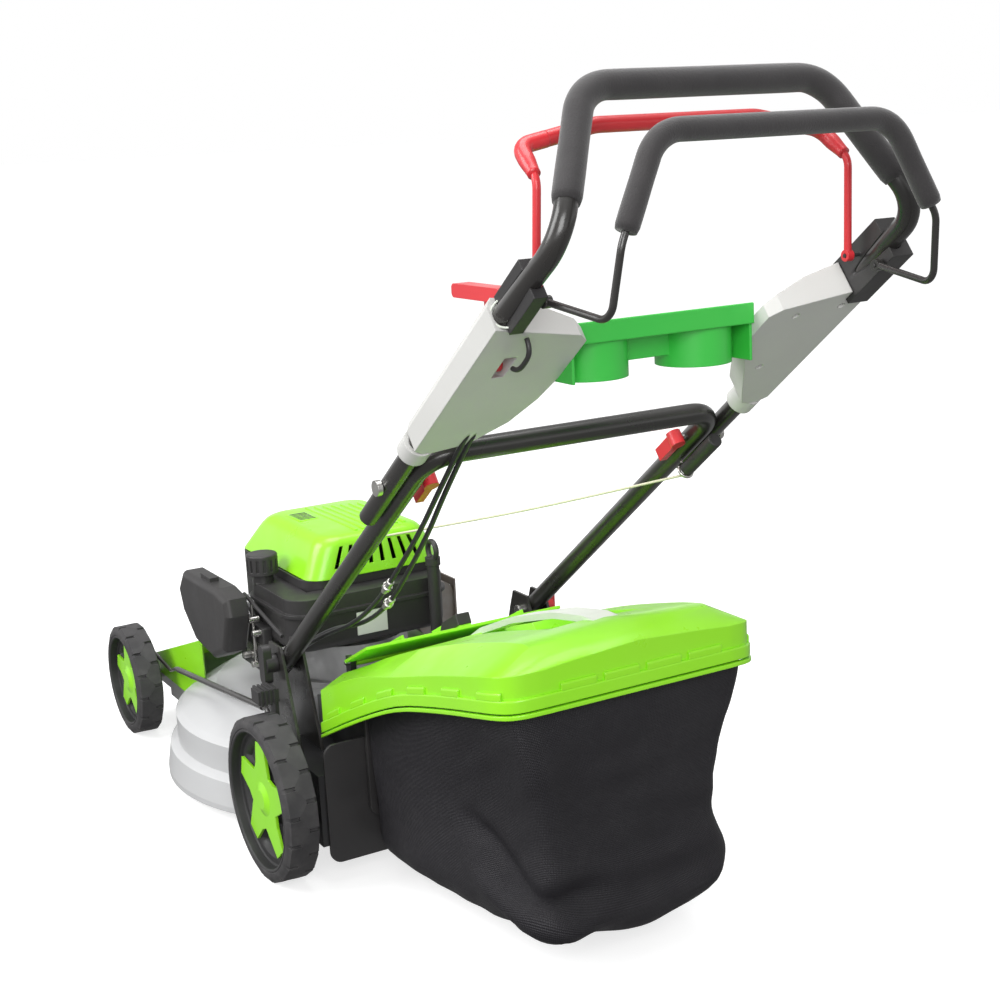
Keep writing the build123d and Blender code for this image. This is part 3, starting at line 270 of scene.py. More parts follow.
class Finish:
    """A procedural material built step by step."""

    def __init__(self, name, colour, rough, **sockets):
        """A material with its shader's even values; an underscore in a socket's name stands for a space."""
        self.material = bpy.data.materials.new(name)
        self.material.use_nodes = True
        self.tree = self.material.node_tree
        self.shader = self.tree.nodes["Principled BSDF"]
        self.colour = colour
        self.rough = rough
        self.shader.inputs["Base Color"].default_value = (*colour, 1)
        self.shader.inputs["Roughness"].default_value = rough
        for socket, value in sockets.items():
            self.shader.inputs[socket.replace("_", " ")].default_value = value
        self.place = self.node("ShaderNodeTexCoord").outputs["Object"]
        self.normal = None
        self.shade = None

    def node(self, kind, **settings):
        """A new node with its settings."""
        made = self.tree.nodes.new(kind)
        for key, value in settings.items():
            setattr(made, key, value)
        return made

    def link(self, source, target):
        """Joins an output to an input."""
        self.tree.links.new(source, target)

    def noise(self, scale, detail=3.0):
        """Noise in the object's own coordinates."""
        made = self.node("ShaderNodeTexNoise")
        made.inputs["Scale"].default_value = scale
        made.inputs["Detail"].default_value = detail
        self.link(self.place, made.inputs["Vector"])
        return made.outputs["Fac"]

    def spread(self, source, low, high, start=0.3, end=0.7):
        """A value between start and end, stretched to run from low to high."""
        made = self.node("ShaderNodeMapRange")
        self.link(source, made.inputs["Value"])
        for key, value in (("From Min", start), ("From Max", end), ("To Min", low), ("To Max", high)):
            made.inputs[key].default_value = value
        return made.outputs["Result"]

    def math(self, operation, a, b=0.0):
        """The result of one math operation on numbers or outputs."""
        made = self.node("ShaderNodeMath", operation=operation)
        for slot, value in zip(made.inputs, (a, b)):
            if isinstance(value, (int, float)):
                slot.default_value = value
            else:
                self.link(value, slot)
        return made.outputs[0]

    def mix(self, share, first, second):
        """A colour between two colours or outputs."""
        made = self.node("ShaderNodeMix", data_type="RGBA")
        self.link(share, made.inputs["Factor"])
        for slot, value in (("A", first), ("B", second)):
            target = [s for s in made.inputs if s.name == slot and s.type == "RGBA"][0]
            if isinstance(value, tuple):
                target.default_value = (*value, 1)
            else:
                self.link(value, target)
        return [s for s in made.outputs if s.type == "RGBA"][0]

    def tone(self, other, scale=9.0, amount=1.0):
        """Slow drift of the colour towards another one."""
        share = self.spread(self.noise(scale, 4.0), 0.0, amount)
        self.shade = self.mix(share, self.shade or self.colour, other)
        return self

    def polish(self, spread=0.1, scale=30.0):
        """Uneven gloss."""
        value = self.spread(self.noise(scale, 5.0), self.rough - spread, self.rough + spread)
        self.link(value, self.shader.inputs["Roughness"])
        return self

    def edges(self, radius, worn, amount=0.6):
        """Softened edges with a little wear along them."""
        bevel = self.node("ShaderNodeBevel", samples=4)
        bevel.inputs["Radius"].default_value = radius * MM
        self.normal = bevel.outputs["Normal"]
        facing = self.node("ShaderNodeVectorMath", operation="DOT_PRODUCT")
        self.link(bevel.outputs["Normal"], facing.inputs[0])
        self.link(self.node("ShaderNodeNewGeometry").outputs["Normal"], facing.inputs[1])
        edge = self.spread(facing.outputs["Value"], amount, 0.0, 0.72, 0.98)
        broken = self.math("MULTIPLY", edge, self.spread(self.noise(70.0, 4.0), 0.1, 1.0))
        self.shade = self.mix(broken, self.shade or self.colour, worn)
        return self

    def grain(self, scale, depth, strength=0.5):
        """Fine relief from noise."""
        return self.relief(self.noise(scale), depth, strength)

    def relief(self, height, depth, strength=0.5):
        """Relief from any height value."""
        bump = self.node("ShaderNodeBump")
        bump.inputs["Strength"].default_value = strength
        bump.inputs["Distance"].default_value = depth * MM
        self.link(height, bump.inputs["Height"])
        if self.normal:
            self.link(self.normal, bump.inputs["Normal"])
        self.normal = bump.outputs["Normal"]
        return self

    def dust(self, colour, scale=14.0, amount=0.25):
        """Pale dust in soft patches."""
        share = self.spread(self.noise(scale, 6.0), 0.0, amount, 0.48, 0.75)
        self.shade = self.mix(share, self.shade or self.colour, colour)
        return self

    def done(self):
        """The material, with its colour and relief joined to the shader."""
        if self.shade:
            self.link(self.shade, self.shader.inputs["Base Color"])
        if self.normal:
            self.link(self.normal, self.shader.inputs["Normal"])
        return self.material


def moulded(name, colour, other, rough, worn, coat=0.0, edge=1.6):
    """Injection moulded plastic."""
    made = Finish(name, colour, rough, Coat_Weight=coat, Coat_Roughness=0.12)
    made.tone(other, 7.0, 0.6).edges(edge, worn, 0.5).polish(0.08, 22.0).grain(900.0, 0.05, 0.35)
    return made.done()


def painted(name, colour, other, rough, worn):
    """Sprayed metal with a faint orange peel."""
    made = Finish(name, colour, rough, Coat_Weight=0.35, Coat_Roughness=0.15)
    made.tone(other, 6.0, 0.7).edges(1.2, worn, 0.6).polish(0.07, 18.0).grain(260.0, 0.06, 0.3)
    return made.done()


def bare_metal(name, colour, other, rough, worn, grain=700.0, depth=0.06):
    """Plated, cast or rolled metal."""
    made = Finish(name, colour, rough, Metallic=1.0)
    made.tone(other, 16.0, 0.8).edges(0.8, worn, 0.6).polish(0.12, 60.0).grain(grain, depth, 0.5)
    return made.done()


def foam_finish():
    """Closed-cell foam with a fine open skin."""
    made = Finish("foam_skin", (0.022, 0.020, 0.021), 0.82, Sheen_Weight=0.35, Sheen_Roughness=0.5)
    made.tone((0.034, 0.031, 0.032), 18.0, 0.8).polish(0.06, 40.0)
    cells = made.node("ShaderNodeTexVoronoi")
    cells.inputs["Scale"].default_value = 650.0
    made.link(made.place, cells.inputs["Vector"])
    made.relief(cells.outputs["Distance"], 0.35, 0.6).grain(90.0, 0.5, 0.25)
    return made.done()


THREAD_PITCH = 4.2


def cloth_finish():
    """Coarse woven catcher cloth with crossing threads."""
    made = Finish("catcher_weave", (0.004, 0.0035, 0.005), 0.55, Specular_IOR_Level=0.36)
    uv = made.node("ShaderNodeTexCoord").outputs["UV"]
    split = made.node("ShaderNodeSeparateXYZ")
    made.link(uv, split.inputs["Vector"])
    pitch = 2 * pi / (THREAD_PITCH * MM)
    waves = []
    for way in ("ADD", "SUBTRACT"):
        slant = made.math(way, split.outputs["X"], split.outputs["Y"])
        waves.append(made.math("SINE", made.math("MULTIPLY", slant, pitch)))
    threads = made.spread(made.math("MULTIPLY", *waves), 0.0, 1.0, -0.8, 0.8)
    made.tone((0.008, 0.007, 0.009), 7.0, 0.7)
    made.shade = made.mix(made.spread(threads, 0.0, 0.7, 0.2, 0.9), made.shade, (0.024, 0.022, 0.028))
    made.dust((0.030, 0.029, 0.031), 10.0, 0.15).polish(0.08, 30.0)
    made.relief(threads, 0.8, 0.8)
    return made.done()


def rubber_finish():
    """Dusty tyre rubber."""
    made = Finish("tyre_rubber", (0.030, 0.029, 0.031), 0.72)
    made.tone((0.050, 0.048, 0.049), 26.0, 0.8)
    made.edges(0.9, (0.10, 0.098, 0.097), 0.7).dust((0.15, 0.145, 0.14), 34.0, 0.22)
    return made.polish(0.1, 50.0).grain(500.0, 0.12, 0.5).done()


def deck_finish():
    """Silver paint on the deck, whose colour turns near black at its chute end, behind y 0.094 m."""
    made = Finish("deck_paint", (0.52, 0.525, 0.53), 0.36, Coat_Weight=0.3, Coat_Roughness=0.18)
    made.tone((0.46, 0.462, 0.465), 6.0, 0.7).edges(1.2, (0.70, 0.70, 0.70), 0.6)
    split = made.node("ShaderNodeSeparateXYZ")
    made.link(made.place, split.inputs["Vector"])
    chute_end = made.spread(split.outputs["Y"], 1.0, 0.0, 0.094, 0.095)
    made.shade = made.mix(chute_end, made.shade, (0.018, 0.018, 0.019))
    return made.polish(0.07, 18.0).grain(260.0, 0.06, 0.3).done()


LIME = (0.275, 0.745, 0.010)
finishes = {
    "green_plastic": moulded("lime_plastic", LIME, (0.305, 0.735, 0.025), 0.34, (0.45, 0.85, 0.16), 0.3),
    "black_plastic": moulded(
        "black_plastic", (0.024, 0.023, 0.024), (0.040, 0.038, 0.037), 0.46, (0.10, 0.10, 0.10)
    ),
    "deck_silver": deck_finish(),
    "grey_plastic": moulded("grey_plastic", (0.56, 0.56, 0.54), (0.62, 0.62, 0.60), 0.42, (0.72, 0.72, 0.71)),
    "red_plastic": moulded(
        "red_plastic", (0.60, 0.022, 0.032), (0.68, 0.045, 0.05), 0.34, (0.80, 0.16, 0.16), 0.2, 1.0
    ),
    "white_plastic": moulded(
        "pale_plastic", (0.66, 0.70, 0.62), (0.74, 0.77, 0.70), 0.38, (0.84, 0.86, 0.82)
    ),
    "black_tube": painted(
        "black_tube", (0.020, 0.019, 0.018), (0.032, 0.029, 0.027), 0.30, (0.09, 0.08, 0.07)
    ),
    "steel": bare_metal("plated_steel", (0.62, 0.61, 0.58), (0.48, 0.47, 0.45), 0.32, (0.85, 0.84, 0.82)),
    "casting": bare_metal(
        "cast_metal", (0.52, 0.52, 0.52), (0.38, 0.38, 0.38), 0.48, (0.74, 0.74, 0.74), 420.0, 0.25
    ),
    "exhaust": bare_metal("exhaust_metal", (0.34, 0.32, 0.30), (0.20, 0.15, 0.12), 0.52, (0.5, 0.48, 0.46)),
    "cord": moulded("pale_rope", (0.62, 0.60, 0.44), (0.72, 0.70, 0.56), 0.7, (0.8, 0.78, 0.66)),
    "cable": moulded("cable_jacket", (0.016, 0.016, 0.017), (0.026, 0.026, 0.027), 0.44, (0.05, 0.05, 0.05)),
    "foam": foam_finish(),
    "cloth": cloth_finish(),
    "tyre": rubber_finish(),
    "rim": moulded("rim_plastic", (0.020, 0.020, 0.021), (0.034, 0.033, 0.033), 0.5, (0.08, 0.08, 0.08)),
}
# The cup tray is the same lime plastic as the rest; this darker, deeper green is painted shade.
tray_painted_shade = moulded("tray_plastic_painted_shade", (0.035, 0.52, 0.060), (0.06, 0.56, 0.07), 0.36, (0.16, 0.70, 0.16), 0.2)
flap_green = moulded("flap_plastic", LIME, (0.31, 0.74, 0.03), 0.62, (0.45, 0.85, 0.16))


def dress(obj, slot, material=None):
    """Gives an object a finish, the one of its slot unless another is given."""
    finish = material or finishes[slot]
    if obj.data.materials:
        for place in obj.material_slots:
            place.material = finish
    else:
        obj.data.materials.append(finish)
    return obj


# Cables and starter rope


# Turned outline of a cable adjuster: radius and place along the cable
ADJUSTER = [(3.2, -15), (4.6, -14), (4.6, -3), (6.2, -2), (6.2, 3), (4.0, 4), (4.0, 13), (3.2, 14)]


def make_cables():
    """Two control cables from the left housing down to the engine, with plated adjusters."""
    for i, x in enumerate((-174, -166)):
        route = [
            at(x, *on_handle(125, -12)),
            at(x, *on_handle(40, -24)),
            at(x, *on_handle(-70, -42 - 6 * i)),
            at(x + 6, -136 - 20 * i, 368),
            at(x + 8, 40, 300 + 10 * i),
            at(x + 8, 190, 216 - 8 * i),
            at(x + 8, 262, 216 - 8 * i),
        ]
        line = spline_points(route)
        obj = piece(f"control_cable_{i + 1}", sweep("cable", line, lambda share: 3.0, 12))
        dress(obj, "cable")
        height = 0.43 - 0.03 * i
        spot = min(range(len(line)), key=lambda k: abs(line[k].z - height))
        along = line[spot + 1] - line[spot - 1]
        turned = lathe("adjuster", ADJUSTER, line[spot], along, 20)
        fitting = piece(f"cable_adjuster_{i + 1}", turned, "deck", False)
        dress(fitting, "steel")
        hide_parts("cables")
        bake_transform(obj)


def make_rope():
    """Thin starter rope from the bonnet to its guide on the right tube."""
    start = at(20.5, 195, 379)
    end = at(LOWER_HALF, *on_handle(-41, -31.1))
    sag = Vector((0, 0, -0.004))
    line = spline_points([start, start.lerp(end, 0.35) + sag, start.lerp(end, 0.65) + sag, end])
    obj = piece("starter_cord", sweep("rope", line, lambda share: 1.6, 10))
    dress(obj, "cord")
    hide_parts("starter_rope")
    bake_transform(obj)


make_cables()
make_rope()


# Finishes of the carried-over pieces

for entry in frame["record"]["subparts"]:
    dress(nodes[entry["node"]], entry["material_slot"])
# The tray takes the darker green of painted shade.
dress(nodes["cup_tray"], "green_plastic", tray_painted_shade)
dress(nodes["rear_flap"], "green_plastic", flap_green)


# Wheels


TYRE_DEPTH = 20
WINDOWS = 5
WINDOW_DEPTH = 8
# Rings of the rim's dish, as shares of its radius
DISH_SHARES = (0.38, 0.42, 0.46, 0.56, 0.68, 0.8, 0.84, 0.89)
# Depth of a lug's foot below the tread, from its outer edge to its tip and back
LUG_DEPTHS = (9, 9, 4.6, 4.6, 4.6)


def ease(value, start, end):
    """An even step from 0 to 1."""
    t = min(1.0, max(0.0, (value - start) / (end - start)))
    return t * t * (3 - 2 * t)


def wheel_rings(radius, tread, drum):
    """Turned outline of a wheel as (radius, axial place, is rim, is dish)."""
    h = tread / 2
    rim = radius - TYRE_DEPTH
    web = tread - 27
    dish = [6.4, 12, 19] + [share * rim for share in DISH_SHARES] + [rim - 2]
    lip = [(rim, h - 12.5), (rim + 0.8, h - 1.6), (rim + 2.4, h - 0.2)]
    side = [
        (rim + 4, h - 0.2), (rim + 4.6, h - 1.2), (rim + 5.6, h - 1.2), (rim + 6.2, h - 0.2),
        (radius - 9, h - 0.5), (radius - 5.4, h - 2.2), (radius - 3.2, h - 5),
    ]
    back = [(rim, 0.3 - h), (drum, 0.3 - h), (drum, web - h), (19, web - h), (19, 1 - h), (6.4, 1 - h)]
    rings = [(r, h - 14, True, True) for r in dish]
    rings += [(r, a, True, False) for r, a in lip]
    rings += [(r, a, False, False) for r, a in side]
    rings.append((radius - 3.2, 0, False, False))
    rings += [(r, -a, False, False) for r, a in reversed(side)]
    rings += [(r, a, True, False) for r, a in back]
    return rings


def window_depth(r, turn, rim):
    """How far the dish is pressed in at a point, between its spokes."""
    gap = abs((turn - radians(18)) % (2 * pi / WINDOWS) - pi / WINDOWS)
    ring = ease(r, 0.40 * rim, 0.45 * rim) * (1 - ease(r, 0.81 * rim, 0.86 * rim))
    return WINDOW_DEPTH * ring * (1 - ease(gap, radians(20), radians(25)))


def add_wheel_body(bm, spot, rings, rim):
    """Turned body of a wheel, with its windows; its rim takes the second material."""
    count = 120
    rows = []
    for r, a, _, dish in rings:
        row = []
        for k in range(count):
            turn = 2 * pi * k / count
            deep = window_depth(r, turn, rim) if dish else 0.0
            row.append(bm.verts.new(spot(r, turn, a - deep)))
        rows.append(row)
    for i, here in enumerate(rows):
        j = (i + 1) % len(rows)
        after = rows[j]
        inside = rings[i][2] and rings[j][2]
        for k in range(count):
            n = (k + 1) % count
            face = bm.faces.new((here[k], here[n], after[n], after[k]))
            face.material_index = 1 if inside else 0


def add_lugs(bm, spot, radius, h, lugs):
    """Two staggered rows of pentagon lugs."""
    pitch = 2 * pi / lugs
    for s in (-1, 1):
        first = 0.25 if s > 0 else 0.75
        outer, inner = s * (h - 4), s * 5.0
        top = [(-0.42, outer), (0.42, outer), (0.43, inner), (0.0, -s * 6.8), (-0.43, inner)]
        outer, inner = s * (h - 0.5), s * 4.6
        low = [(-0.45, outer), (0.45, outer), (0.455, inner), (0.0, -s * 8), (-0.455, inner)]
        for k in range(lugs):
            middle = pitch * (k + first)
            upper = [bm.verts.new(spot(radius, middle + t * pitch, a)) for t, a in top]
            lower = []
            for (t, a), depth in zip(low, LUG_DEPTHS):
                lower.append(bm.verts.new(spot(radius - depth, middle + t * pitch, a)))
            bm.faces.new(upper)
            for i in range(5):
                j = (i + 1) % 5
                bm.faces.new((upper[i], lower[i], lower[j], upper[j]))


def make_wheel(where, side, size):
    """Tyre with lugs on a dished rim with windows."""
    radius, tread, face_x, y, drum, lugs = size
    sign = -1 if side == "left" else 1
    h = tread / 2

    def spot(r, turn, a):
        """A point of the wheel by its radius, angle and place along the axle."""
        return at(sign * (face_x - h + a), y + r * cos(turn), radius + r * sin(turn))

    bm = bmesh.new()
    add_wheel_body(bm, spot, wheel_rings(radius, tread, drum), radius - TYRE_DEPTH)
    add_lugs(bm, spot, radius, h, lugs)
    bmesh.ops.recalc_face_normals(bm, faces=bm.faces)
    mesh = mesh_from(bm, "wheel")
    mesh.materials.append(finishes["tyre"])
    mesh.materials.append(finishes["rim"])
    obj = piece(f"tyre_{where}_{side}", mesh, f"wheel_{where}_{side}")
    mesh.set_sharp_from_angle(angle=radians(28))
    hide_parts(f"wheel_{where}_{side}")


for wheel_side in ("left", "right"):
    make_wheel("rear", wheel_side, REAR_WHEEL)
    make_wheel("front", wheel_side, FRONT_WHEEL)


# Catcher lid


def lid_value(y, column):
    """A smooth value along the lid stations."""
    rows = LID_STATIONS
    y = min(max(y, rows[0][0]), rows[-1][0])
    i = max(k for k in range(len(rows) - 1) if rows[k][0] <= y)
    low, high = rows[i], rows[i + 1]
    before, after = rows[max(i - 1, 0)], rows[min(i + 2, len(rows) - 1)]
    span = high[0] - low[0]
    t = (y - low[0]) / span
    rise_low = (high[column] - before[column]) / (high[0] - before[0]) * span
    rise_high = (after[column] - low[column]) / (after[0] - low[0]) * span
    a = 2 * t**3 - 3 * t**2 + 1
    b = t**3 - 2 * t**2 + t
    return a * low[column] + b * rise_low + (1 - a) * high[column] + (t**3 - t**2) * rise_high


LID_CUTS = [-8, -40, -80, -120, -146, -152, -176, -205, -231, -262, -296, -330, -372, -396, -402]
LID_CUTS += [-420, -438, -450, -460, -467, -473, -477.5, -481, -483, -484]
LID_CROWN = 6
LID_FRONT_DROP = 2.5
WELL_HALF = 58
WELL_DEPTH = 26
WELL_ENDS = (-372, -176)


def lid_section(y):
    """Points across the lid at one station, left to right."""
    half, low, crease, top_half, top = (lid_value(y, c) for c in range(1, 6))
    across = [top_half, WELL_HALF + 5, WELL_HALF, 24]
    right = [(half, low), (half, (low + crease) / 2), (half, crease)]
    right += [(x, top + LID_CROWN * (1 - x / top_half)) for x in across]
    drop = LID_FRONT_DROP * ease(y, -135, -70)
    right = [(x, z - drop if x < half else z) for x, z in right]
    deep = WELL_DEPTH if WELL_ENDS[0] <= y <= WELL_ENDS[1] else 0
    right = [(x, z - deep if x <= WELL_HALF else z) for x, z in right]
    middle = (0, top + LID_CROWN - deep - drop)
    return [(-x, z) for x, z in right] + [middle] + list(reversed(right))


def finish_edges(obj, width, angle=25, thick=0.0):
    """Wall thickness and softly rounded edges."""
    if thick:
        wall = obj.modifiers.new("wall", "SOLIDIFY")
        wall.thickness = thick * MM
        wall.offset = -1
    soft = obj.modifiers.new("soft", "BEVEL")
    soft.width = width * MM
    soft.segments = 3
    soft.limit_method = "ANGLE"
    soft.angle_limit = radians(angle)
    obj.modifiers.new("even", "WEIGHTED_NORMAL")


def make_lid():
    """Moulded lid with upright sides, sloped shoulders and a finger well."""
    bm = bmesh.new()
    rows = [[bm.verts.new(at(x, y, z)) for x, z in lid_section(y)] for y in LID_CUTS]
    for front, back in zip(rows, rows[1:]):
        for k in range(len(front) - 1):
            bm.faces.new((front[k], front[k + 1], back[k + 1], back[k]))
    bm.faces.new(rows[-1])
    face_up(bm)
    mesh = mesh_from(bm, "catcher_lid")
    obj = piece("catcher_lid", mesh, "catcher")
    dress(obj, "green_plastic")
    finish_edges(obj, 2.6, 24, 2.6)
    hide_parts("bag_lid")


def lid_path():
    """Lower edge of the lid from the left front round the back, with outward directions."""
    left = [Vector((-lid_value(y, 1), y, lid_value(y, 2))) for y in LID_CUTS]
    back = [Vector((x, -484, 346)) for x in (-70, -35, 0)]
    half = left + back
    points = half + [Vector((-p.x, p.y, p.z)) for p in reversed(half[:-1])]
    path = []
    for i, p in enumerate(points):
        along = points[min(i + 1, len(points) - 1)] - points[max(i - 1, 0)]
        path.append((p, Vector((along.y, -along.x, 0)).normalized()))
    return path


def path_part(path, start, end):
    """The stretch of a path between two distances along it, in millimetres."""
    part = []
    gone = 0.0
    for (p, n), (q, m) in zip(path, path[1:]):
        length = (q - p).length
        for share in (max(0.0, (start - gone) / length), min(1.0, (end - gone) / length)):
            if 0 <= share <= 1 and gone + length > start and gone < end:
                spot = (p.lerp(q, share), n.lerp(m, share).normalized())
                if not part or (part[-1][0] - spot[0]).length > 0.01:
                    part.append(spot)
        gone += length
    return part


def band(name, path, profile):
    """A moulded strip along a path; the profile holds (outwards, upwards) points."""
    vertices = []
    for p, n in path:
        for out, up in profile:
            spot = p + n * out
            vertices.append(at(spot.x, spot.y, spot.z + up))
    mesh = mesh_of(name, vertices, loft_faces(len(path), len(profile)))
    obj = piece(name, mesh, "catcher")
    dress(obj, "green_plastic")
    finish_edges(obj, 0.9, 30)


def make_lid_bands():
    """Double rim of the lid and the stepped clip tabs above it."""
    path = lid_path()
    band("lid_rim_upper", path, [(-1.5, 0.5), (3.4, 0.5), (3.4, 14), (2.4, 15.5), (-1.5, 15.5)])
    band("lid_rim_lower", path, [(-2, -6.5), (4.6, -6.5), (4.6, -1.5), (-2, -1.5)])
    total = line_length([p for p, _ in path])
    corner = 545
    tab = [(-1.5, 14.5), (3.0, 14.5), (3.0, 22), (1.8, 24), (-1.5, 24)]
    starts = [24 + 84 * i for i in range(6)]
    for i, start in enumerate(starts):
        band(f"lid_tab_left_{i + 1}", path_part(path, start, start + 42), tab)
        band(f"lid_tab_right_{i + 1}", path_part(path, total - start - 42, total - start), tab)
    rear = total - 2 * corner
    for i in range(4):
        start = corner + rear * (i + 0.16) / 4
        band(f"lid_tab_back_{i + 1}", path_part(path, start, start + 46), tab)


make_lid()
make_lid_bands()


# Catcher bag

# Lower edge of the cloth along its sides: y and height
BAG_FLOOR = [(-478, 76), (-461, 72), (-374, 57), (-238, 41), (-140, 34), (-111, 34), (-82, 50)]
BAG_FRONT = -75
BAG_BACK = -478
BAG_HALF = 157
BAG_ROUND = 34
# Half width and lower edge of the open mouth, and the cloth's size round and down, in metres
MOUTH_HALF = 0.146
MOUTH_LOW = 0.088
WEAVE_SIZE = (1.38, 0.42)


def along_floor(y):
    """Height of the cloth's lower edge."""
    for low, high in zip(BAG_FLOOR, BAG_FLOOR[1:]):
        if low[0] <= y <= high[0]:
            return low[1] + (high[1] - low[1]) * (y - low[0]) / (high[0] - low[0])
    return BAG_FLOOR[0][1] if y < BAG_FLOOR[0][0] else BAG_FLOOR[-1][1]


def ring_point(share, half, front, back, corner):
    """A point on a rounded rectangle in plan, by the share of the way round from the front middle."""
    runs = [
        ("line", (0, front), (-half + corner, front)),
        ("arc", (-half + corner, front - corner), 90),
        ("line", (-half, front - corner), (-half, back + corner)),
        ("arc", (-half + corner, back + corner), 180),
        ("line", (-half + corner, back), (half - corner, back)),
        ("arc", (half - corner, back + corner), 270),
        ("line", (half, back + corner), (half, front - corner)),
        ("arc", (half - corner, front - corner), 360),
        ("line", (half - corner, front), (0, front)),
    ]
    lengths = [hypot(b[0] - a[0], b[1] - a[1]) if kind == "line" else corner * pi / 2 for kind, a, b in runs]
    left = share * sum(lengths)
    for (kind, a, b), length in zip(runs, lengths):
        if left <= length:
            t = left / max(length, 1e-9)
            if kind == "line":
                return a[0] + (b[0] - a[0]) * t, a[1] + (b[1] - a[1]) * t
            turn = radians(b + 90 * t)
            return a[0] + corner * cos(turn), a[1] + corner * sin(turn)
        left -= length
    return runs[0][1]


def bag_rows():
    """Rows of the bag as (share of the drop, inset at the floor, lift above the floor)."""
    rows = [(i / 30, 0.0, 0.0) for i in range(31)]
    for i in range(1, 8):
        turn = i * pi / 14
        rows.append((1.0, BAG_ROUND * (1 - cos(turn)), -BAG_ROUND * sin(turn)))
    for i in range(1, 8):
        rows.append((1.0, BAG_ROUND + 78 * i / 7, -BAG_ROUND))
    return rows


def bag_spot(share, drop, inset, lift):
    """A point on the hanging cloth before its creases."""
    corner = 24 + 18 * ease(drop, 0.2, 0.9)
    front = BAG_FRONT - inset * 0.4
    rear = BAG_BACK + 4 + inset
    x, y = ring_point(share, BAG_HALF - inset, front, rear, max(6, corner - inset * 0.3))
    back = ease(-y, 110, 440)
    pinch = 31 * back * (ease(drop, 0.04, 0.62) - 0.42 * ease(drop, 0.72, 1.0))
    x *= 1 - pinch / BAG_HALF
    y += 10 * back * ease(drop, 0.1, 0.8) * (1 - (x / 170) ** 2) - 8 * back * ease(drop, 0.7, 1.0)
    sag = (6 + 30 * ease(-y, 120, 470)) * max(0.0, 1 - (x / 140) ** 2)
    top = lid_value(y, 2) + 12
    low = along_floor(y) + BAG_ROUND - sag * drop**3
    return at(x, y, top + (low - top) * drop + lift)


def crease(p):
    """Hanging folds and creases of the cloth, in millimetres out of its surface."""
    back = ease(-p.y, 0.16, 0.40)
    slow = noise.noise(Vector((p.x * 6, p.y * 6, p.z * 5 + 2))) * 5.0
    hang = noise.noise(Vector((p.x * 20, p.y * 20, p.z * 4 + 5))) * (1.4 + 1.6 * back)
    slant = noise.noise(Vector(((p.y + p.z * 1.3) * 26, (p.y - p.z) * 6, p.x * 9 + 3))) * (0.8 + 2.6 * back)
    fold = 9 * back * noise.noise(Vector((p.x * 9 + 1.7, p.y * 9, p.z * 16)))
    away = p.z - 0.115 - 0.34 * (p.y + 0.40)
    left = (1 - ease(p.x, -0.10, -0.02)) * ease(-p.y, 0.27, 0.36)
    tuck = left * (11 * exp(-((away + 0.022) / 0.018) ** 2) - 12 * exp(-((away - 0.012) / 0.016) ** 2))
    return slow + hang + slant + fold * (1 - ease(p.z, 0.09, 0.22)) + tuck


def make_bag():
    """Sagging cloth bag hung from the lid and the mouth frame."""
    count = 176
    bm = bmesh.new()
    uv = bm.loops.layers.uv.new("weave")
    rows = bag_rows()
    grid = [[bm.verts.new(bag_spot(k / count, *row)) for k in range(count)] for row in rows]
    place = {}
    for r, row in enumerate(grid):
        for k, v in enumerate(row):
            place[v] = (k / count, r / len(grid))
    for upper, lower in zip(grid, grid[1:]):
        for k in range(count):
            n = (k + 1) % count
            bm.faces.new((upper[k], lower[k], lower[n], upper[n]))
    bm.faces.new(grid[-1])
    bmesh.ops.recalc_face_normals(bm, faces=bm.faces)
    bm.normal_update()
    for r, row in enumerate(grid):
        free = ease(r, 2, 10)
        for k, v in enumerate(row):
            away = min(k, count - k) / count
            v.co = v.co + v.normal * (crease(v.co) * free * ease(away, 0.13, 0.19) * MM)
    for face in bm.faces:
        first = place[face.loops[0].vert][0]
        for loop in face.loops:
            u, v = place[loop.vert]
            u += round(first - u)
            loop[uv].uv = (u * WEAVE_SIZE[0], v * WEAVE_SIZE[1])
    front = []
    for face in bm.faces:
        middle = face.calc_center_median()
        inside = abs(middle.x) < MOUTH_HALF and middle.z > MOUTH_LOW
        if inside and middle.y > (BAG_FRONT - 5) * MM + SHIFT_Y:
            front.append(face)
    bmesh.ops.delete(bm, geom=front, context="FACES")
    mesh = mesh_from(bm, "catcher_bag")
    obj = piece("catcher_bag", mesh, "catcher")
    dress(obj, "cloth")
    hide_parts("bag_cloth")


make_bag()


# Foam sleeves


def bent_bar(points, radius):
    """A line along straight runs with round corners, as Bezier knots."""
    knots = [(points[0], points[0], points[0].lerp(points[1], 0.3))]
    for before, corner, after in zip(points, points[1:], points[2:]):
        back = (before - corner).normalized()
        ahead = (after - corner).normalized()
        turn = pi - back.angle(ahead)
        reach = radius * MM * tan(turn / 2)
        pull = radius * MM * 4 / 3 * tan(turn / 4)
        start = corner + back * reach
        end = corner + ahead * reach
        knots.append((start, start + back * reach * 0.3, start - back * pull))
        knots.append((end, end - ahead * pull, end + ahead * reach * 0.3))
    knots.append((points[-1], points[-1].lerp(points[-2], 0.3), points[-1]))
    return spline_points(knots, bezier=True)


def sleeve_radius(r, share):
    """Foam sleeve thickness: rounded ends and a slightly uneven skin."""
    end = min(share, 1 - share)
    lip = 1 - 0.10 * max(0.0, 1 - end / 0.012) ** 2
    return r * lip * (1 + 0.012 * sin(share * 37) * sin(share * 11 + 1))


def make_foam(name, node, body, side, corner, r):
    """Foam sleeve over a bent bar."""
    points = [at(-x, y, z) for x, y, z in side] + [at(x, y, z) for x, y, z in reversed(side)]
    line = bent_bar(points, corner)
    obj = piece(name, sweep(name, line, lambda share: sleeve_radius(r, share), 32), body)
    dress(obj, "foam")
    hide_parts(node)


def between(first, second, share):
    """A point on the way from one place to another."""
    return tuple(a + (b - a) * share for a, b in zip(first, second))


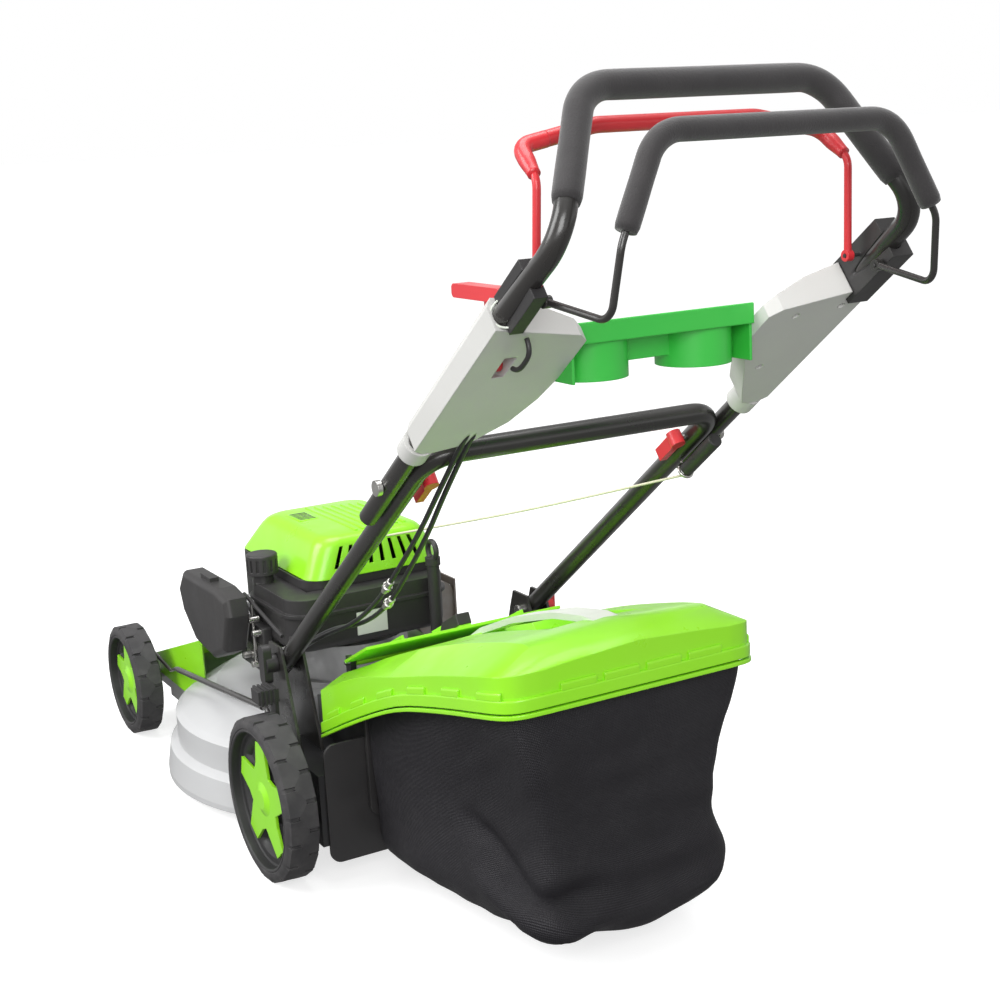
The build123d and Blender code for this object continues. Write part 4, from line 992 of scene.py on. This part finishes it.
# Corners of the upper handle and of the drive bail on the right side
BEND_Y = -693
BEND = (208, BEND_Y, CLAMP[1] + (BEND_Y - CLAMP[0]) * tan(SLOPE))
GRIP = (139, -626, 985)
KNEE = (180, -744, 850)
BAR = (133, -733, 943)
GRIP_FOAM_LOW = 885
BAIL_FOAM_START = 0.12

foam_low = between(BEND, GRIP, (GRIP_FOAM_LOW - BEND[2]) / (GRIP[2] - BEND[2]))
make_foam("grip_sleeve", "grip_foam", "upper", [foam_low, GRIP], 45, 14)
bail_low = between(KNEE, BAR, BAIL_FOAM_START)
make_foam("bail_sleeve", "drive_bail_foam", "drive", [bail_low, BAR], 40, 11)


# Stop bail sleeve


def make_bail_corners():
    """Thick moulded sleeve ends round both corners of the stop bail."""
    for side, sign in (("l", -1), ("r", 1)):
        points = [at(sign * 150, -579, 939.5), at(sign * 179, -579, 934), at(sign * 183.4, -611, 909)]
        line = bent_bar(points, 15)
        mesh = sweep("sleeve", line, lambda share: 8.2 - 1.8 * ease(share, 0.8, 1.0), 20)
        dress(piece(f"stop_sleeve_{side}", mesh, "stop"), "red_plastic")


make_bail_corners()


# Engine bonnet

HOOD_RIBS = 7
HOOD_SLOTS = 8
SLOT_REACH = 70
SLOT_HALF = 3.6
HOOD_LOW = 331
HOOD_TALL = 59
HOOD_HALF = 108
HOOD_CORNER = 30
# Rings of the bonnet: height, inset
HOOD_LEVELS = [(331.3, 0), (338, 0), (345, 0), (356, 0), (367, 0), (376, 0.3), (382, 1.6), (386.5, 4.6)]
HOOD_LEVELS += [(389.3, 9), (390.4, 15), (391.0, 34), (391.3, 56)]


def hood_ring(z, inset):
    """Outline of the bonnet at one height, with points at the edges of its rear slots."""
    rise = (z - HOOD_LOW) / HOOD_TALL
    half = HOOD_HALF - 24 * rise - inset
    back = 186 + 7 * rise + inset
    front = 470 - 51 * rise - inset
    r = HOOD_CORNER - 0.5 * inset
    flat = half - r
    points = []
    for i in range(HOOD_SLOTS):
        middle = -SLOT_REACH + 2 * SLOT_REACH * i / (HOOD_SLOTS - 1)
        for edge in (middle - SLOT_HALF, middle + SLOT_HALF):
            points.append((edge * flat / (HOOD_HALF - HOOD_CORNER), back))
    low, high = back + r, front - r
    for cx, cy, start in ((flat, low, -90), (flat, high, 0), (-flat, high, 90), (-flat, low, 180)):
        for k in range(9):
            turn = radians(start + 90 * k / 8)
            points.append((cx + r * cos(turn), cy + r * sin(turn)))
    return [at(x, y, z) for x, y in points]


def make_hood():
    """Rounded bonnet with open slots across its back."""
    bm = bmesh.new()
    rows = [[bm.verts.new(p) for p in hood_ring(z, inset)] for z, inset in HOOD_LEVELS]
    count = len(rows[0])
    for level, (low, high) in enumerate(zip(rows, rows[1:])):
        for k in range(count):
            n = (k + 1) % count
            slot = k < 2 * HOOD_SLOTS and k % 2 == 0
            if not (slot and 2 <= level <= 4):
                bm.faces.new((low[k], low[n], high[n], high[k]))
    bm.faces.new(rows[-1])
    face_up(bm)
    mesh = mesh_from(bm, "bonnet")
    obj = piece("bonnet", mesh, "deck")
    dress(obj, "green_plastic")
    finish_edges(obj, 0.7, 35, 3.0)
    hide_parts("engine_hood")


def join_boxes(name, boxes, soft):
    """Several rounded boxes as one mesh."""
    bm = bmesh.new()
    for low, high in boxes:
        part = cushion_box(name, low, high, soft)
        bm.from_mesh(part)
        bpy.data.meshes.remove(part)
    return mesh_from(bm, name)


def make_hood_top():
    """Long ribs and a small grille on top of the bonnet."""
    ribs = [((-22 + 13 * i, 212, 389.6), (-16 + 13 * i, 396 - 4 * i, 392.6)) for i in range(HOOD_RIBS)]
    dress(piece("bonnet_ribs", join_boxes("ribs", ribs, 1.2), "deck"), "green_plastic")
    frame_box = [((-64, 318, 389.4), (-32, 372, 391.9))]
    dress(piece("bonnet_grille", join_boxes("grille", frame_box, 1.1), "deck"), "green_plastic")
    slits = [((-61, 322 + 8 * i, 390.2), (-35, 326 + 8 * i, 392.2)) for i in range(6)]
    dress(piece("bonnet_grille_slits", join_boxes("slits", slits, 0.5), "deck"), "black_plastic")


make_hood()
make_hood_top()


# Small fittings


def make_label():
    """Bare pale label on the back of the tank."""
    mesh = cushion_box("label", (-56, 148.6, 253), (-8, 150.4, 287), 0.6)
    dress(piece("blank_label", mesh, "deck"), "white_plastic")


# Bends of the hook: distance up the handle from the clamp bolt, and lift
HOOK_BENDS = [(322, -17), (321, -31), (296, -33), (284, -29), (280, -24)]


def make_hook():
    """Wire hook on the back of the left housing and a thin tie round the tube above it."""
    points = [at(-190, *on_handle(along, lift)) for along, lift in HOOK_BENDS]
    mesh = sweep("hook", spline_points(points), lambda share: 2.6, 10)
    dress(piece("housing_hook", mesh, "upper"), "black_plastic")
    loop = []
    for k in range(25):
        turn = radians(10 + 345 * k / 24)
        y, z = on_handle(346 + 9 * cos(turn), 16 * sin(turn))
        loop.append(at(-211 + 17 * cos(turn), y, z))
    mesh = sweep("tie", spline_points(loop), lambda share: 1.1, 8)
    dress(piece("tube_tie", mesh, "upper"), "white_plastic")


def add_rod(name, start, end, radius, slot, body):
    """A plain round bar between two points."""
    line = [at(*start), at(*end)]
    obj = piece(name, sweep(name, line, lambda share: radius, 14), body, smooth=False)
    dress(obj, slot)
    finish_edges(obj, 0.4, 40)


GOVERNOR_X = -172
# Bolts of the governor plate: y, z
GOVERNOR_BOLTS = [(247, 255), (258, 273), (258, 206), (307, 240), (290, 212)]


def make_linkage():
    """Governor plate with plated rods and bolts beside the tank, and the sleeve of the height link."""
    plate = cushion_box("plate", (-166, 238, 192), (-151, 336, 262), 2.0)
    dress(piece("governor_plate", plate, "deck"), "black_plastic")
    x = GOVERNOR_X
    add_rod("governor_rod_1", (x, 329, 269), (x, 307, 237), 2.4, "steel", "deck")
    add_rod("governor_rod_2", (x, 258, 301), (x, 258, 203), 2.4, "steel", "deck")
    add_rod("governor_lever", (x, 286, 306), (x, 146, 276), 3.0, "black_plastic", "deck")
    for i, (y, z) in enumerate(GOVERNOR_BOLTS):
        add_rod(f"governor_bolt_{i + 1}", (x + 9, y, z), (x - 7, y, z), 5, "steel", "deck")
    add_rod("link_sleeve", (-225.6, 100, 197.2), (-225.6, 468, 151.2), 4.5, "black_tube", "link")


# Hinge of the flap (y, z), its slope in degrees, and sections of its lever: way from the hinge, foot, top
FLAP_HINGE = (10, 266)
FLAP_SLOPE = -27
LEVER_HALF = 10.5
LEVER_SECTIONS = [(-99, 4, 20), (-52, 3, 19), (-38, 2, 8)]


def make_flap_lever():
    """Black lever over the middle rib of the flap."""
    turn = radians(FLAP_SLOPE)
    corners = []
    for along, low, high in LEVER_SECTIONS:
        for x, up in ((-LEVER_HALF, low), (LEVER_HALF, low), (LEVER_HALF, high), (-LEVER_HALF, high)):
            y = FLAP_HINGE[0] + along * cos(turn) - up * sin(turn)
            corners.append(at(x, y, FLAP_HINGE[1] + along * sin(turn) + up * cos(turn)))
    faces = [(0, 1, 2, 3), (8, 9, 10, 11)]
    for ring in (0, 4):
        for k in range(4):
            n = (k + 1) % 4
            faces.append((ring + k, ring + n, ring + n + 4, ring + k + 4))
    obj = piece("flap_lever", mesh_of("flap_lever", corners, faces), "flap", smooth=False)
    dress(obj, "black_plastic")
    finish_edges(obj, 1.5, 30)


make_label()
make_hook()
make_linkage()
make_flap_lever()


# Floor and light


def make_stage():
    """Pale floor that fades into the background."""
    bpy.ops.mesh.primitive_plane_add(size=240, location=(0, 0, -0.0005))
    floor = bpy.context.object
    floor.name = "floor"
    made = Finish("pale_floor", (0.55, 0.55, 0.55), 0.9, Emission_Color=(1, 1, 1, 1), Emission_Strength=0.68)
    made.tone((0.56, 0.56, 0.56), 0.8, 0.6)
    floor.data.materials.append(made.done())
    floor.visible_diffuse = False
    floor.visible_glossy = False


def add_light(name, place, target, size, power):
    """A soft area light aimed at a point."""
    data = bpy.data.lights.new(name, "AREA")
    data.size = size
    data.energy = power
    light = bpy.data.objects.new(name, data)
    aim = Vector(target) - Vector(place)
    light.matrix_world = aim.to_track_quat("-Z", "Y").to_matrix().to_4x4()
    light.location = place
    bpy.context.scene.collection.objects.link(light)


def make_light():
    """Studio light: a white horizon, a dimmer dome and a soft key from the left."""
    world = bpy.data.worlds.new("studio")
    bpy.context.scene.world = world
    world.use_nodes = True
    tree = world.node_tree
    split = tree.nodes.new("ShaderNodeSeparateXYZ")
    tree.links.new(tree.nodes.new("ShaderNodeTexCoord").outputs["Generated"], split.inputs[0])
    height = tree.nodes.new("ShaderNodeMapRange")
    height.inputs["From Min"].default_value = -1
    tree.links.new(split.outputs["Z"], height.inputs["Value"])
    ramp = tree.nodes.new("ShaderNodeValToRGB")
    stops = ramp.color_ramp.elements
    for place, level in ((0.46, 0.34), (0.49, 1.0), (0.57, 1.0), (0.66, 0.42), (0.84, 0.5)):
        stops.new(place).color = (level, level, level, 1)
    stops[0].color = (0.28, 0.28, 0.28, 1)
    stops[-1].color = (0.9, 0.9, 0.9, 1)
    tree.links.new(height.outputs["Result"], ramp.inputs["Fac"])
    tree.links.new(ramp.outputs["Color"], tree.nodes["Background"].inputs["Color"])
    bpy.context.scene.view_settings.view_transform = "Standard"
    add_light("key", (-3.4, 0.9, 2.8), (0, 0, 0.4), 2.4, 125)
    add_light("fill", (-1.8, -3.2, 2.0), (0, 0, 0.5), 2.0, 85)
    add_light("top", (0.2, 0.2, 4.0), (0, 0, 0), 2.6, 85)


make_stage()
make_light()
